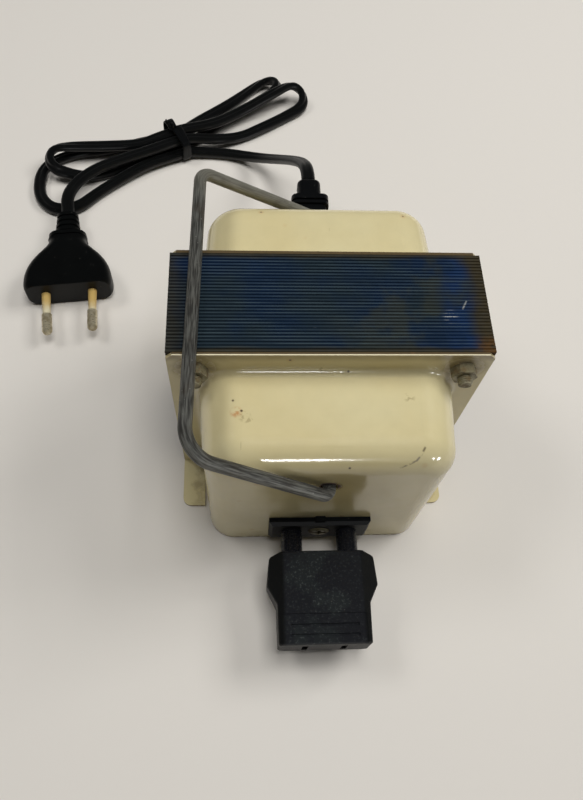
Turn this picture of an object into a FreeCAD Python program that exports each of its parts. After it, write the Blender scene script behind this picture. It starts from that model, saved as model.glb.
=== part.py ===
import FreeCAD, Part
import math
import os
import Sketcher
from FreeCAD import Vector, Placement, Rotation

# Reversible mains autotransformer on an EI-96 core with drawn steel end covers, a wire carrying
# handle, a two pin outlet with an adapter plugged into it, and a flat cord tied in a hank.
# Millimetres. +Z is up, -Y is the outlet side. The origin is the middle of the core's underside.

doc = FreeCAD.newDocument("voltage_transformer")
sheet = doc.addObject("Spreadsheet::Sheet", "Sizes")
rows = 0


class Length:
    """A number together with the sheet formula that gives it."""

    def __init__(self, value, text):
        self.value = value
        self.text = text

    def joined(self, other, sign, value):
        return Length(value, f"({self.text} {sign} {length(other).text})")

    def __add__(self, other):
        return self.joined(other, "+", self.value + length(other).value)

    def __sub__(self, other):
        return self.joined(other, "-", self.value - length(other).value)

    def __mul__(self, other):
        return self.joined(other, "*", self.value * length(other).value)

    def __truediv__(self, other):
        return self.joined(other, "/", self.value / length(other).value)

    def __radd__(self, other):
        return length(other) + self

    def __rsub__(self, other):
        return length(other) - self

    def __rmul__(self, other):
        return length(other) * self

    def __neg__(self):
        return length(0) - self


def length(value):
    return value if isinstance(value, Length) else Length(float(value), f"{float(value):g}")


def size(name, value, meaning):
    """Write one driving size into the sheet and hand it back."""
    global rows
    rows += 1
    sheet.set(f"A{rows}", meaning)
    sheet.set(f"B{rows}", f"{value:g}")
    sheet.setAlias(f"B{rows}", name)
    return Length(float(value), f"Sizes.{name}")


# Core, the EI-96 lamination: back iron and legs a sixth of the width
core_width = size("core_width", 96, "width of the lamination")
core_height = size("core_height", 80, "height of the closed E and I")
core_stack = size("core_stack", 35, "thickness of the stack")
core_leg = size("core_leg", 16, "width of an outer leg, of the back iron and of the I")
core_tongue = size("core_tongue", 32, "width of the middle leg")
sheet_count = size("sheet_count", 30, "visible packets in the stack")
joint_depth = size("joint_depth", 0.25, "depth of the line between two packets")
joint_width = size("joint_width", 0.2, "width of the line between two packets")
bolt_hole = size("bolt_hole", 4.8, "bolt hole in the core")

# Coil on the middle leg
former_gap = size("former_gap", 0.2, "play between the former and the core")
former_wall = size("former_wall", 1.0, "wall of the coil former")
coil_play = size("coil_play", 2.1, "free room between the wrapped coil and an outer leg")
inner_share = size("inner_share", 0.544, "share of the low voltage winding in the copper's build")
paper_build = size("paper_build", 0.4, "build of the paper between the windings")
wrap_build = size("wrap_build", 0.5, "build of the outer wrap")
layer_gap = size("layer_gap", 0.1, "play between two wound layers")

# End covers
cover_sheet = size("cover_sheet", 1.0, "thickness of the cover's steel")
cover_clear = size("cover_clear", 15.2, "from the coil's cheeks to the cover's outer face")
cover_side = size("cover_side", 8.5, "flange beside the cover's box")
cover_draw = size("cover_draw", 2, "draw of a side wall of the cover's box")
cover_drop = size("cover_drop", 9.7, "top of the cover's box under the core's top")
cover_shoulder = size("cover_shoulder", 12, "radius of the top corners of the box")
cover_edge = size("cover_edge", 9, "radius round the outer face")
cover_bend = size("cover_bend", 2.2, "hollow radius where the box meets the flange")
flange_corner = size("flange_corner", 2, "cut across the flange's top corners")
recess_width = size("recess_width", 7, "half width of the recess that clears a lower nut")
recess_over = size("recess_over", 6.5, "top of the recess over the bolt")
recess_depth = size("recess_depth", 9, "depth of the recess from the core's face")
recess_corner = size("recess_corner", 2.5, "radius inside the recess")
foot_length = size("foot_length", 19, "reach of a foot from the core's face")
foot_width = size("foot_width", 8, "width of a foot")
foot_corner = size("foot_corner", 3, "radius of a foot's outer corner")
foot_radius = size("foot_radius", 2, "radius under the bend of a foot")
cover_hole = size("cover_hole", 4.5, "bolt hole in the flange")

# Bolts and nuts
bolt_size = size("bolt_size", 4, "thread size of the through bolts")
bolt_end = size("bolt_end", 2.4, "thread that stands out of the nut")
bolt_head = size("bolt_head", 7, "diameter of the bolt's head")
bolt_head_rise = size("bolt_head_rise", 2.6, "height of the bolt's head")
nut_flats = size("nut_flats", 7, "nut across the flats")
nut_rise = size("nut_rise", 3.2, "height of the nut")
slot_width = size("slot_width", 1.0, "screwdriver slot")

# Handle
wire = size("wire", 4, "handle wire")
pivot_drop = size("pivot_drop", 17.8, "handle's holes under the top of the cover's box")
pivot_hole = size("pivot_hole", 5.5, "hole for the handle in a cover")
bar_clear = size("bar_clear", 0.3, "play between the leaning bar and the core's top")
bar_inset_front = size("bar_inset_front", 6.4, "bar's front corner inside the core's side")
bar_inset_rear = size("bar_inset_rear", 8.8, "bar's rear corner inside the core's side")
bar_past_front = size("bar_past_front", 1.5, "bar's front corner in front of the cover's face")
bar_short_rear = size("bar_short_rear", 0.5, "bar's rear corner short of the cover's face")
arm_front = size("arm_front", 3.2, "front arm's end in front of the cover")
arm_rear = size("arm_rear", 7.5, "rear arm's end behind the cover")
bend_front = size("bend_front", 9, "radius of the bar's front corner")
bend_rear = size("bend_rear", 5, "radius of the bar's rear corner")
bend_end = size("bend_end", 2.9, "radius where an arm turns into its hole")
stub = size("stub", 4, "wire inside the cover")

# Outlet
plate_width = size("plate_width", 34.4, "width of the outlet's plate")
plate_height = size("plate_height", 15, "height of the outlet's plate")
plate_rise = size("plate_rise", 2.6, "thickness of the outlet's plate")
plate_bevel = size("plate_bevel", 1.1, "bevel round the plate")
outlet_height = size("outlet_height", 15, "height of the outlet's middle")
pin_span = size("pin_span", 19, "centres of the outlet's two holes")
adapter_pin = size("adapter_pin", 4.8, "pin of the adapter")
pin_play = size("pin_play", 0.05, "play round the pin in its contact, on the radius")
contact_wall = size("contact_wall", 0.8, "wall of a contact tube")
boss_wall = size("boss_wall", 1.2, "plastic round a contact tube")
boss_length = size("boss_length", 12, "reach of the sockets behind the cover's face")
outlet_screw = size("outlet_screw", 3.5, "thread size of the outlet's screw")
outlet_head = size("outlet_head", 7.2, "diameter of the outlet screw's head")
head_rise = size("head_rise", 1.9, "height of the outlet screw's head")
head_edge = size("head_edge", 0.5, "bevel of the outlet screw's head")
cross_depth = size("cross_depth", 1.1, "depth of the cross slot")
cross_half = size("cross_half", 2.2, "half length of the cross slot")
screw_past = size("screw_past", 1.5, "outlet screw's thread past its nut")
outlet_play = size("outlet_play", 0.2, "play round the outlet's screw and sockets, on the radius")
nib_width = size("nib_width", 3.4, "width of the nib above the plate")
nib_rise = size("nib_rise", 1.2, "height of the nib above the plate")
nib_back = size("nib_back", 0.8, "nib behind the plate's face")
head_sink = size("head_sink", 1.3, "depth of the seat of the outlet screw's head")
contact_back = size("contact_back", 1.6, "closed end of a contact tube")
contact_sink = size("contact_sink", 0.6, "mouth of a contact tube behind the cover's face")
outlet_nut_flats = size("outlet_nut_flats", 6, "outlet nut across the flats")
outlet_nut_rise = size("outlet_nut_rise", 2.8, "height of the outlet nut")

# Adapter
collar_size = size("collar_size", 7.2, "round collars of the adapter")
collar_length = size("collar_length", 8.6, "reach of the collars")
adapter_length = size("adapter_length", 30, "length of the adapter's body")
adapter_rear = size("adapter_rear", 35, "width of the adapter at its collars")
adapter_wide = size("adapter_wide", 36.8, "greatest width of the adapter")
adapter_narrow = size("adapter_narrow", 30.4, "width of the adapter's grip")
adapter_thick = size("adapter_thick", 14, "thickness of the adapter")
adapter_shoulder = size("adapter_shoulder", 11, "from the collars' end to the greatest width")
adapter_waist = size("adapter_waist", 17.2, "from the collars' end to the grip")
adapter_corner = size("adapter_corner", 1.6, "radius of the adapter's upright corners")
adapter_round = size("adapter_round", 1, "radius of the adapter's long edges")
crown_round = size("crown_round", 2, "radius between the adapter's flat top and its flanks")
adapter_crown = size("adapter_crown", 25.8, "width of the adapter's flat top, which runs to its end")
adapter_fall = size("adapter_fall", 3, "fall of a flank from the flat top to the greatest width")
rear_cut = size("rear_cut", 4, "cut across the adapter's rear corners")
rear_fall = size("rear_fall", 1.6, "fall of that cut")
grip_draft = size("grip_draft", 0.2, "draw of a side of the grip")
step_back = size("step_back", 3.2, "from the grip's start to its step")
adapter_step = size("adapter_step", 0.4, "step down to the grip")
blade_span = size("blade_span", 12.7, "centres of the adapter's two blade slots")
blade_width = size("blade_width", 1.9, "width of a blade slot")
blade_height = size("blade_height", 7.2, "height of a blade slot")
cap_thick = size("cap_thick", 1.8, "thickness of the adapter's end cap")

adapter_rise = size("adapter_rise", 0.5, "adapter's middle above its pins")
pin_depth = size("pin_depth", 12.6, "reach of an adapter pin behind the outlet's plate")
pin_inside = size("pin_inside", 12, "reach of an adapter pin inside the adapter's body")
groove_width = size("groove_width", 0.9, "width of a grip groove")
groove_depth = size("groove_depth", 0.5, "depth of a grip groove")
groove_half = size("groove_half", 11, "half length of a grip groove")
groove_back = size("groove_back", 2.9, "last grip groove before the adapter's end")
groove_pitch = size("groove_pitch", 3.1, "pitch of the grip grooves")
collar_sink = size("collar_sink", 3, "reach of a collar into the adapter's body")
pocket_inner = size("pocket_inner", 2.2, "inner wall of a contact's pocket from the middle")
pocket_play = size("pocket_play", 0.3, "play round a contact in its pocket")
strip_play = size("strip_play", 0.1, "play between a contact strip and its blade")
strip_foot = size("strip_foot", 1.6, "contact strip's foot past the pin's middle")
strip_short = size("strip_short", 0.6, "contact strip short of the end cap")
strip = size("strip", 0.8, "thickness of the adapter's contact strips")
contact_height = size("contact_height", 6, "width of the adapter's contact strips")

# Leads inside
lead_size = size("lead_size", 1.6, "insulated lead")
lead_drop = size("lead_drop", 13.8, "front leads under the top of the core's window")
splice_size = size("splice_size", 5.4, "diameter of a splice cap")
splice_length = size("splice_length", 11, "length of a splice cap")
splice_span = size("splice_span", 26, "centres of the two splice caps")
splice_back = size("splice_back", 10, "splice caps in front of the cover's outer face")
splice_height = size("splice_height", 20, "lower end of the splice caps")

# Cord, its strain relief and its plug
cord = size("cord", 4.8, "diameter of the cord's plain tube")
cord_bend = size("cord_bend", 0.45, "share of the shorter run that a bend of the cord takes up")
tie_x = size("tie_x", -56, "tie round the hank, across")
tie_y = size("tie_y", 141.4, "tie round the hank, along")
tie_turn = size("tie_turn", 118, "turn of the tie in degrees")
tie_band = size("tie_band", 6, "width of the tie's band")
tie_wall = size("tie_wall", 0.6, "thickness of the tie's band")
tie_half = size("tie_half", 9.6, "half width inside the tie")
tie_low = size("tie_low", 0.72, "underside of the strands in the tie")
tie_high = size("tie_high", 10.7, "top of the strands in the tie")
relief_height = size("relief_height", 42, "height of the cord's exit")
relief_width = size("relief_width", 14.2, "width of the strain relief")
relief_thick = size("relief_thick", 10, "thickness of the strain relief")
relief_length = size("relief_length", 23.5, "length of the wide part of the strain relief")
relief_neck = size("relief_neck", 9, "length of its neck")
relief_clip = size("relief_clip", 2, "clip of the strain relief inside the cover")
relief_shoulder = size("relief_shoulder", 1.5, "shoulder of the strain relief round its hole")
relief_play = size("relief_play", 0.1, "play of the strain relief in its hole")
relief_base = size("relief_base", 3, "length of the rib at the cover")
relief_rib = size("relief_rib", 1.4, "length of the middle rib")
relief_gap = size("relief_gap", 0.9, "groove between the middle rib and the rim")
relief_rim = size("relief_rim", 2.2, "length of the rim")
relief_waist = size("relief_waist", 0.9, "depth of the waist and the groove under the ribs")
relief_round = size("relief_round", 2.4, "radius of the strain relief's long edges")
relief_neck_width = size("relief_neck_width", 9, "width of the neck")
relief_neck_thick = size("relief_neck_thick", 7.5, "thickness of the neck")
relief_tip = size("relief_tip", 1.6, "radius of the neck's tip")
plug_x = size("plug_x", -97, "plug's pin face, across")
plug_y = size("plug_y", 53.3, "plug's pin face, along")
plug_turn = size("plug_turn", 6.5, "turn of the plug in degrees")
plug_width = size("plug_width", 35.3, "width of the plug's pin face")
plug_thick = size("plug_thick", 13.7, "thickness of the plug")
plug_length = size("plug_length", 26, "length of the plug's body")
plug_tail = size("plug_tail", 14, "length of the plug's ribbed neck")
plug_collar = size("plug_collar", 16, "width of the plug's collar")
collar_back = size("collar_back", 1, "fall of the collar's thickness, each side")
collar_groove = size("collar_groove", 0.9, "length of the groove behind the collar")
groove_sink = size("groove_sink", 0.8, "depth of that groove")
collar_rim = size("collar_rim", 1.6, "length of the rim behind the groove")
rim_sink = size("rim_sink", 0.25, "rim inside the collar's outline")
neck_ribs = size("neck_ribs", 4, "ribs of the neck")
rib_depth = size("rib_depth", 0.7, "depth between two ribs")
neck_draw = size("neck_draw", 0.12, "draw of each rib and each gap")
plug_neck = size("plug_neck", 10.6, "width of the ribbed neck")
plug_neck_thick = size("plug_neck_thick", 9, "thickness of the ribbed neck")
plug_round = size("plug_round", 4.4, "radius of the plug's long edges")
plug_rest = size("plug_rest", 0.05, "floor under the plug")
pin_root = size("pin_root", 8, "part of a pin inside the plug")
root_size = size("root_size", 3.2, "diameter of a pin inside the plug")
root_play = size("root_play", 0.25, "room in the plug for the lean of a pin, on the radius")
sleeve_size = size("sleeve_size", 3.6, "diameter of a pin's sleeve at the plug")
sleeve_end = size("sleeve_end", 3.1, "diameter of a pin's sleeve at the bare tip")
sleeve_wall = size("sleeve_wall", 0.35, "wall of a pin's sleeve at the bare tip")
pin_round = size("pin_round", 1.3, "length of a pin's rounded tip")
plug_pin = size("plug_pin", 4, "pin of the plug")
plug_pin_length = size("plug_pin_length", 19, "length of a plug pin")
plug_span = size("plug_span", 18.6, "pin centres at the plug's face")
plug_lean = size("plug_lean", 1.5, "lean of each pin towards the other in degrees")
sleeve_length = size("sleeve_length", 10, "insulated part of a plug pin")
doc.recompute()

# Places that several pieces share
half_stack = core_stack / 2
core_middle = core_height / 2
bolt_span_x = core_width - core_leg
bolt_span_z = core_height - core_leg
window_width = (core_width - core_tongue) / 2 - core_leg
window_low = core_leg + former_gap
window_high = core_height - core_leg - former_gap

# The coil's layers, as distances from the middle leg, with the copper filling what is left
cheek_reach = window_width - former_gap
first_layer = former_gap + former_wall + layer_gap
copper_build = window_width - coil_play - first_layer - paper_build - wrap_build - layer_gap * 3
inner_build = copper_build * inner_share
outer_build = copper_build - inner_build
paper_layer = first_layer + inner_build + layer_gap
outer_layer = paper_layer + paper_build + layer_gap
wrap_layer = outer_layer + outer_build + layer_gap
coil_reach = wrap_layer + wrap_build

# The cover's box, and what hangs on it
face = half_stack + cheek_reach + cover_clear
cover_root = core_width - cover_side * 2
cover_face = cover_root - cover_draw * 2
cover_top = core_height - cover_drop
pivot_height = cover_top - pivot_drop
flange_face = half_stack + cover_sheet
plate_face = face + plate_rise
collar_end = plate_face + collar_length
adapter_end = collar_end + adapter_length
contact_front = face - contact_sink
adapter_pin_tip = plate_face - pin_depth
adapter_pin_end = collar_end + pin_inside


def bind(thing, **values):
    """Bind properties of an object to sheet formulas."""
    for name, value in values.items():
        thing.setExpression(name.replace("__", "."), length(value).text)


def place(thing, x=0, y=0, z=0, rotation=None):
    if rotation is not None:
        thing.Placement = Placement(Vector(0, 0, 0), rotation)
    bind(thing, Placement__Base__x=x, Placement__Base__y=y, Placement__Base__z=z)


def body_named(name):
    body = doc.addObject("PartDesign::Body", name)
    body.Label = name
    return body


def sketch_on(body, name, role, offset=0):
    """A sketch on one of the body's origin planes, moved along the plane's normal."""
    sketch = body.newObject("Sketcher::SketchObject", name)
    plane = [part for part in body.Origin.OriginFeatures if part.Role == role][0]
    sketch.AttachmentSupport = [(plane, "")]
    sketch.MapMode = "FlatFace"
    bind(sketch, AttachmentOffset__Base__z=offset)
    return sketch


def fix_point(sketch, item, end, x, y):
    for kind, value in (("DistanceX", length(x)), ("DistanceY", length(y))):
        number = sketch.addConstraint(Sketcher.Constraint(kind, -1, 1, item, end, value.value))
        sketch.setExpression(f"Constraints[{number}]", value.text)


def polygon(sketch, points):
    """Closed outline through points given as pairs of lengths."""
    first = sketch.GeometryCount
    spots = [Vector(length(x).value, length(y).value, 0) for x, y in points]
    count = len(points)
    for i in range(count):
        sketch.addGeometry(Part.LineSegment(spots[i], spots[(i + 1) % count]), False)
    for i in range(count):
        after = first + (i + 1) % count
        sketch.addConstraint(Sketcher.Constraint("Coincident", first + i, 2, after, 1))
    for i, (x, y) in enumerate(points):
        fix_point(sketch, first + i, 1, x, y)


def rectangle(sketch, left, right, low, high):
    polygon(sketch, ((left, low), (right, low), (right, high), (left, high)))


def mirrored_outline(half):
    """Points of the right half, from top to bottom, closed with their mirror images."""
    return list(half) + [(-length(x), y) for x, y in reversed(half)]


def circle(sketch, x, y, radius):
    spot = Vector(length(x).value, length(y).value, 0)
    item = sketch.addGeometry(Part.Circle(spot, Vector(0, 0, 1), length(radius).value), False)
    fix_point(sketch, item, 3, x, y)
    number = sketch.addConstraint(Sketcher.Constraint("Radius", item, length(radius).value))
    sketch.setExpression(f"Constraints[{number}]", length(radius).text)


def feature(body, kind, name, sketch, **values):
    """A Pad or Pocket of a sketch, checked to have added or removed material."""
    before = body.Shape.Volume if body.Tip else 0.0
    item = body.newObject(f"PartDesign::{kind}", name)
    item.Profile = sketch
    reverse = values.pop("reverse", False)
    item.Reversed = reverse
    item.Midplane = values.pop("both", False)
    if values.pop("through", False):
        item.Type = "ThroughAll"
    bind(item, **values)
    doc.recompute()
    change = item.Shape.Volume - before
    if kind == "Pocket" and change > -1e-6:
        raise RuntimeError(f"{body.Label} {name} cuts nothing")
    if kind == "Pad" and change < 1e-6:
        raise RuntimeError(f"{body.Label} {name} adds nothing")
    return item


def dress(body, kind, name, test, radius):
    """Fillet or chamfer the edges of the body's last feature for which test is true."""
    base = body.Tip
    shape = base.Shape
    names = [f"Edge{i + 1}" for i, edge in enumerate(shape.Edges) if test(edge)]
    if not names:
        raise RuntimeError(f"{body.Label} {name} finds no edge")
    item = body.newObject(f"PartDesign::{kind}", name)
    item.Base = (base, names)
    bind(item, **({"Radius": radius} if kind == "Fillet" else {"Size": radius}))
    doc.recompute()
    if "Invalid" in item.State or item.Shape.isNull():
        raise RuntimeError(f"{body.Label} {name} fails on {len(names)} edges")
    return item


def lies_at(value, low, high, tolerance=0.02):
    return abs(low - value) < tolerance and abs(high - value) < tolerance


def group(name, members):
    """Separate solids that share one node."""
    item = doc.addObject("Part::Compound", name)
    item.Label = name
    item.Links = members
    return item


def turned(name, profile):
    """A turned piece: profile is (radius, height) pairs of the half outline, about Z."""
    body = body_named(name)
    sketch = sketch_on(body, name + "_profile", "XZ_Plane")
    polygon(sketch, profile)
    item = body.newObject("PartDesign::Revolution", name + "_turn")
    item.Profile = sketch
    item.ReferenceAxis = (sketch, ["V_Axis"])
    item.Angle = 360
    doc.recompute()
    return body


# Along +Z of a turned piece, laid to point to the front (-Y) or to the rear (+Y)
TO_FRONT = Rotation(Vector(1, 0, 0), 90)
TO_REAR = Rotation(Vector(1, 0, 0), -90)


def joint_lines(body, left, right, low, high):
    """Fine lines round the outside of a stack, one between each two packets."""
    pitch = core_stack / sheet_count
    sketch = sketch_on(body, body.Label + "_line", "XZ_Plane", pitch - joint_width / 2)
    rectangle(sketch, left - 1, right + 1, low - 1, high + 1)
    rectangle(sketch, left + joint_depth, right - joint_depth, low + joint_depth, high - joint_depth)
    line = feature(body, "Pocket", body.Label + "_cut", sketch, Length=joint_width, reverse=True)
    rowed = body.newObject("PartDesign::LinearPattern", body.Label + "_lines")
    rowed.Originals = [line]
    rowed.Direction = (sketch, ["N_Axis"])
    bind(rowed, Length=pitch * (sheet_count - 2), Occurrences=sheet_count - 1)
    body.Tip = rowed
    doc.recompute()
    if rowed.Shape.Volume > line.Shape.Volume - 1:
        raise RuntimeError(f"{body.Label} lines cut nothing")


def bolt_spots():
    for side in (-1, 1):
        for level in (-1, 1):
            yield side * bolt_span_x / 2, core_middle + level * bolt_span_z / 2


def e_laminations():
    body = body_named("e_laminations")
    sketch = sketch_on(body, "e_outline", "XZ_Plane")
    right = core_width / 2
    yoke = core_height - core_leg
    half = (
        (right, core_height),
        (right, core_leg),
        (right - core_leg, core_leg),
        (right - core_leg, yoke),
        (core_tongue / 2, yoke),
        (core_tongue / 2, core_leg),
    )
    polygon(sketch, mirrored_outline(half))
    feature(body, "Pad", "e_stack", sketch, Length=core_stack)
    joint_lines(body, -right, right, core_leg - 3, core_height)
    holes = sketch_on(body, "e_holes", "XZ_Plane")
    for x, z in bolt_spots():
        if z.value > core_leg.value:
            circle(holes, x, z, bolt_hole / 2)
    feature(body, "Pocket", "e_bores", holes, through=True, reverse=True)
    place(body, y=half_stack)
    return body


def i_laminations():
    body = body_named("i_laminations")
    sketch = sketch_on(body, "i_outline", "XZ_Plane")
    right = core_width / 2
    rectangle(sketch, -right, right, 0, core_leg)
    feature(body, "Pad", "i_stack", sketch, Length=core_stack)
    joint_lines(body, -right, right, 0 - length(3), core_leg + 3)
    holes = sketch_on(body, "i_holes", "XZ_Plane")
    for x, z in bolt_spots():
        if z.value < core_leg.value:
            circle(holes, x, z, bolt_hole / 2)
    feature(body, "Pocket", "i_bores", holes, through=True, reverse=True)
    place(body, y=half_stack)
    return body


def coil_former():
    body = body_named("coil_former")
    wall = former_gap + former_wall
    tube = sketch_on(body, "former_tube", "XY_Plane", window_low)
    rectangle(tube, -core_tongue / 2 - wall, core_tongue / 2 + wall, -half_stack - wall, half_stack + wall)
    feature(body, "Pad", "former_wall", tube, Length=window_high - window_low)
    reach = core_tongue / 2 + cheek_reach
    for name, level in (("former_low", window_low), ("former_high", window_high - former_wall)):
        cheek = sketch_on(body, name, "XY_Plane", level)
        out = half_stack + cheek_reach
        rectangle(cheek, -reach, reach, -out, out)
        feature(body, "Pad", name + "_cheek", cheek, Length=former_wall)
    hole = sketch_on(body, "former_hole", "XY_Plane", window_low - 1)
    across = core_tongue / 2 + former_gap
    along = half_stack + former_gap
    rectangle(hole, -across, across, -along, along)
    feature(body, "Pocket", "former_bore", hole, through=True, reverse=True)
    return body


def rounded(sketch, half_x, half_y, radius):
    """Rectangle about the sketch's origin with its corners rounded."""
    corners = ((1, 1), (-1, 1), (-1, -1), (1, -1))
    reach = length(radius).value
    ends = []
    for i, (sx, sy) in enumerate(corners):
        flat = (sx * (half_x - radius), sy * half_y)
        upright = (sx * half_x, sy * (half_y - radius))
        before, after = (upright, flat) if i % 2 == 0 else (flat, upright)
        ends.append((before, after))
        middle = Vector(sx * (half_x - radius).value, sy * (half_y - radius).value, 0)
        ring = Part.Circle(middle, Vector(0, 0, 1), reach)
        sketch.addGeometry(Part.ArcOfCircle(ring, i * math.pi / 2, (i + 1) * math.pi / 2), False)
    for i in range(4):
        start = ends[i][1]
        end = ends[(i + 1) % 4][0]
        spots = [Vector(x.value, y.value, 0) for x, y in (start, end)]
        line = sketch.addGeometry(Part.LineSegment(*spots), False)
        fix_point(sketch, line, 1, *start)
        fix_point(sketch, line, 2, *end)
        sketch.addConstraint(Sketcher.Constraint("Coincident", i, 2, line, 1))
        sketch.addConstraint(Sketcher.Constraint("Coincident", (i + 1) % 4, 1, line, 2))
        number = sketch.addConstraint(Sketcher.Constraint("Radius", i, reach))
        sketch.setExpression(f"Constraints[{number}]", length(radius).text)


def wound_layer(name, inside, outside):
    """A ring with rounded corners round the former, between two offsets from the middle leg."""
    body = body_named(name)
    low = window_low + former_wall + layer_gap
    rise = window_high - former_wall - layer_gap - low
    outer = sketch_on(body, name + "_out", "XY_Plane", low)
    rounded(outer, core_tongue / 2 + outside, half_stack + outside, outside)
    feature(body, "Pad", name + "_block", outer, Length=rise)
    inner = sketch_on(body, name + "_in", "XY_Plane", low - 1)
    rounded(inner, core_tongue / 2 + inside, half_stack + inside, corner_of(inside))
    feature(body, "Pocket", name + "_hole", inner, through=True, reverse=True)
    return body


def corner_of(inside):
    """The first layer lies on the former's square corners, the others on rounded layers."""
    return inside if inside.value > 2 else length(0.3)


def cover_box(name, inset, start):
    """The tapered box of a cover, drawn in by inset, from start to the outer face."""
    body = body_named(name)
    near = sketch_on(body, name + "_root", "XZ_Plane", start)
    far = sketch_on(body, name + "_face", "XZ_Plane", face - inset)
    top = cover_top - inset
    for sketch, width in ((near, cover_root), (far, cover_face)):
        half = width / 2 - inset
        rectangle(sketch, -half, half, -inset, top)
    loft = body.newObject("PartDesign::AdditiveLoft", name + "_loft")
    loft.Profile = near
    loft.Sections = [far]
    loft.Ruled = True
    doc.recompute()
    summit = top.value
    outer = -(face - inset).value

    def shoulder(edge):
        b = edge.BoundBox
        return lies_at(summit, b.ZMin, b.ZMax) and b.YLength > 5

    def rim(edge):
        b = edge.BoundBox
        return lies_at(outer, b.YMin, b.YMax) and b.ZMax > 1

    dress(body, "Fillet", name + "_shoulders", shoulder, cover_shoulder - inset)
    dress(body, "Fillet", name + "_rim", rim, cover_edge - inset)
    return body


def nut_recesses(body, inset, start):
    """Clear the lower nuts: a recess in each side wall of the box, from start backwards."""
    name = body.Label + "_recess"
    recess = sketch_on(body, name, "XZ_Plane", start)
    inner = bolt_span_x / 2 - recess_width - inset
    crown = core_middle - bolt_span_z / 2 + recess_over + inset
    back = half_stack + recess_depth + inset
    for side in (-1, 1):
        rectangle(recess, side * inner, side * (cover_root / 2 + 5), -2, crown)
    feature(body, "Pocket", name + "_cut", recess, Length=back - start, reverse=True)

    def corner(edge):
        b = edge.BoundBox
        if not lies_at(inner.value, abs(b.XMin), abs(b.XMax)):
            return False
        upright = lies_at(-back.value, b.YMin, b.YMax) and b.ZLength > 5
        along = lies_at(crown.value, b.ZMin, b.ZMax) and b.YLength > 5
        return upright or along

    dress(body, "Fillet", name + "_corners", corner, recess_corner + inset)


def cover_inside(name):
    body = cover_box(name, cover_sheet, half_stack - 1)
    nut_recesses(body, cover_sheet, half_stack - 2)
    return body


def cover_outside(name):
    """The outer form of a cover with its flange and the bend between them."""
    body = cover_box(name, length(0), half_stack)
    right = core_width / 2
    cut = flange_corner
    flange = sketch_on(body, name + "_flange", "XZ_Plane", half_stack)
    half = ((right - cut, core_height), (right, core_height - cut), (right, 0))
    polygon(flange, mirrored_outline(half))
    feature(body, "Pad", name + "_flange_sheet", flange, Length=cover_sheet)
    front = -flange_face.value
    side = cover_root.value / 2

    def bend(edge):
        b = edge.BoundBox
        within = max(abs(b.XMin), abs(b.XMax)) < side + 0.1 and b.ZMax < cover_top.value + 0.1
        return lies_at(front, b.YMin, b.YMax) and within and b.ZMax > 1

    dress(body, "Fillet", name + "_bend", bend, cover_bend)
    nut_recesses(body, length(0), flange_face)
    return body


def foot_bend(body, name, side):
    """Round the outside of the bend between the flange and a foot."""
    right = core_width / 2
    sketch = sketch_on(body, name, "YZ_Plane", side * (right - foot_width / 2))
    back = -half_stack
    radius = foot_radius
    polygon_and_arc(sketch, back, radius)
    feature(body, "Pocket", name + "_round", sketch, Length=foot_width, both=True)


def polygon_and_arc(sketch, back, radius):
    """The corner at (back, 0) outside a quarter round of the given radius."""
    start = (back - radius, length(0))
    corner = (back, length(0))
    end = (back, radius)
    spots = [Vector(x.value, y.value, 0) for x, y in (start, corner, end)]
    first = sketch.addGeometry(Part.LineSegment(spots[0], spots[1]), False)
    second = sketch.addGeometry(Part.LineSegment(spots[1], spots[2]), False)
    middle = Vector(start[0].value, end[1].value, 0)
    ring = Part.Circle(middle, Vector(0, 0, 1), radius.value)
    arc = sketch.addGeometry(Part.ArcOfCircle(ring, -math.pi / 2, 0), False)
    sketch.addConstraint(Sketcher.Constraint("Coincident", first, 2, second, 1))
    sketch.addConstraint(Sketcher.Constraint("Coincident", arc, 1, first, 1))
    sketch.addConstraint(Sketcher.Constraint("Coincident", arc, 2, second, 2))
    fix_point(sketch, first, 1, *start)
    fix_point(sketch, first, 2, *corner)
    fix_point(sketch, second, 2, *end)
    number = sketch.addConstraint(Sketcher.Constraint("Radius", arc, radius.value))
    sketch.setExpression(f"Constraints[{number}]", radius.text)


def cover(name, rear, holes):
    """An end cover: flange, box, feet and its holes."""
    outer = cover_outside(name + "_outside")
    right = core_width / 2
    feet = sketch_on(outer, name + "_feet", "XY_Plane")
    toe = -(half_stack + foot_length)
    for side in (-1, 1):
        rectangle(feet, side * (right - foot_width), side * right, toe, -half_stack)
    feature(outer, "Pad", name + "_foot_sheet", feet, Length=cover_sheet)
    toe_y = toe.value
    right_x = right.value

    def toe_corner(edge):
        b = edge.BoundBox
        upright = b.ZLength > cover_sheet.value / 2 and b.XLength < 0.01
        return upright and lies_at(toe_y, b.YMin, b.YMax) and lies_at(right_x, abs(b.XMin), abs(b.XMax))

    dress(outer, "Fillet", name + "_toes", toe_corner, foot_corner)
    for side, word in ((-1, "left"), (1, "right")):
        foot_bend(outer, f"{name}_{word}_bend", side)
    bores = sketch_on(outer, name + "_bolt_holes", "XZ_Plane", half_stack - 1)
    for x, z in bolt_spots():
        circle(bores, x, z, cover_hole / 2)
    feature(outer, "Pocket", name + "_bolt_bores", bores, Length=cover_sheet + 2, reverse=True)
    front = sketch_on(outer, name + "_face_holes", "XZ_Plane", face - cover_sheet - 2)
    circle(front, 0, pivot_height, pivot_hole / 2)
    holes(front)
    feature(outer, "Pocket", name + "_face_bores", front, Length=cover_sheet + 4, reverse=True)
    inner = cover_inside(name + "_inside")
    item = doc.addObject("Part::Cut", name)
    item.Label = name
    item.Base = outer
    item.Tool = inner
    if rear:
        place(item, rotation=Rotation(Vector(0, 0, 1), 180))
    return item


socket_bore = adapter_pin / 2 + pin_play + contact_wall
socket_boss = socket_bore + pin_play + boss_wall


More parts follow.
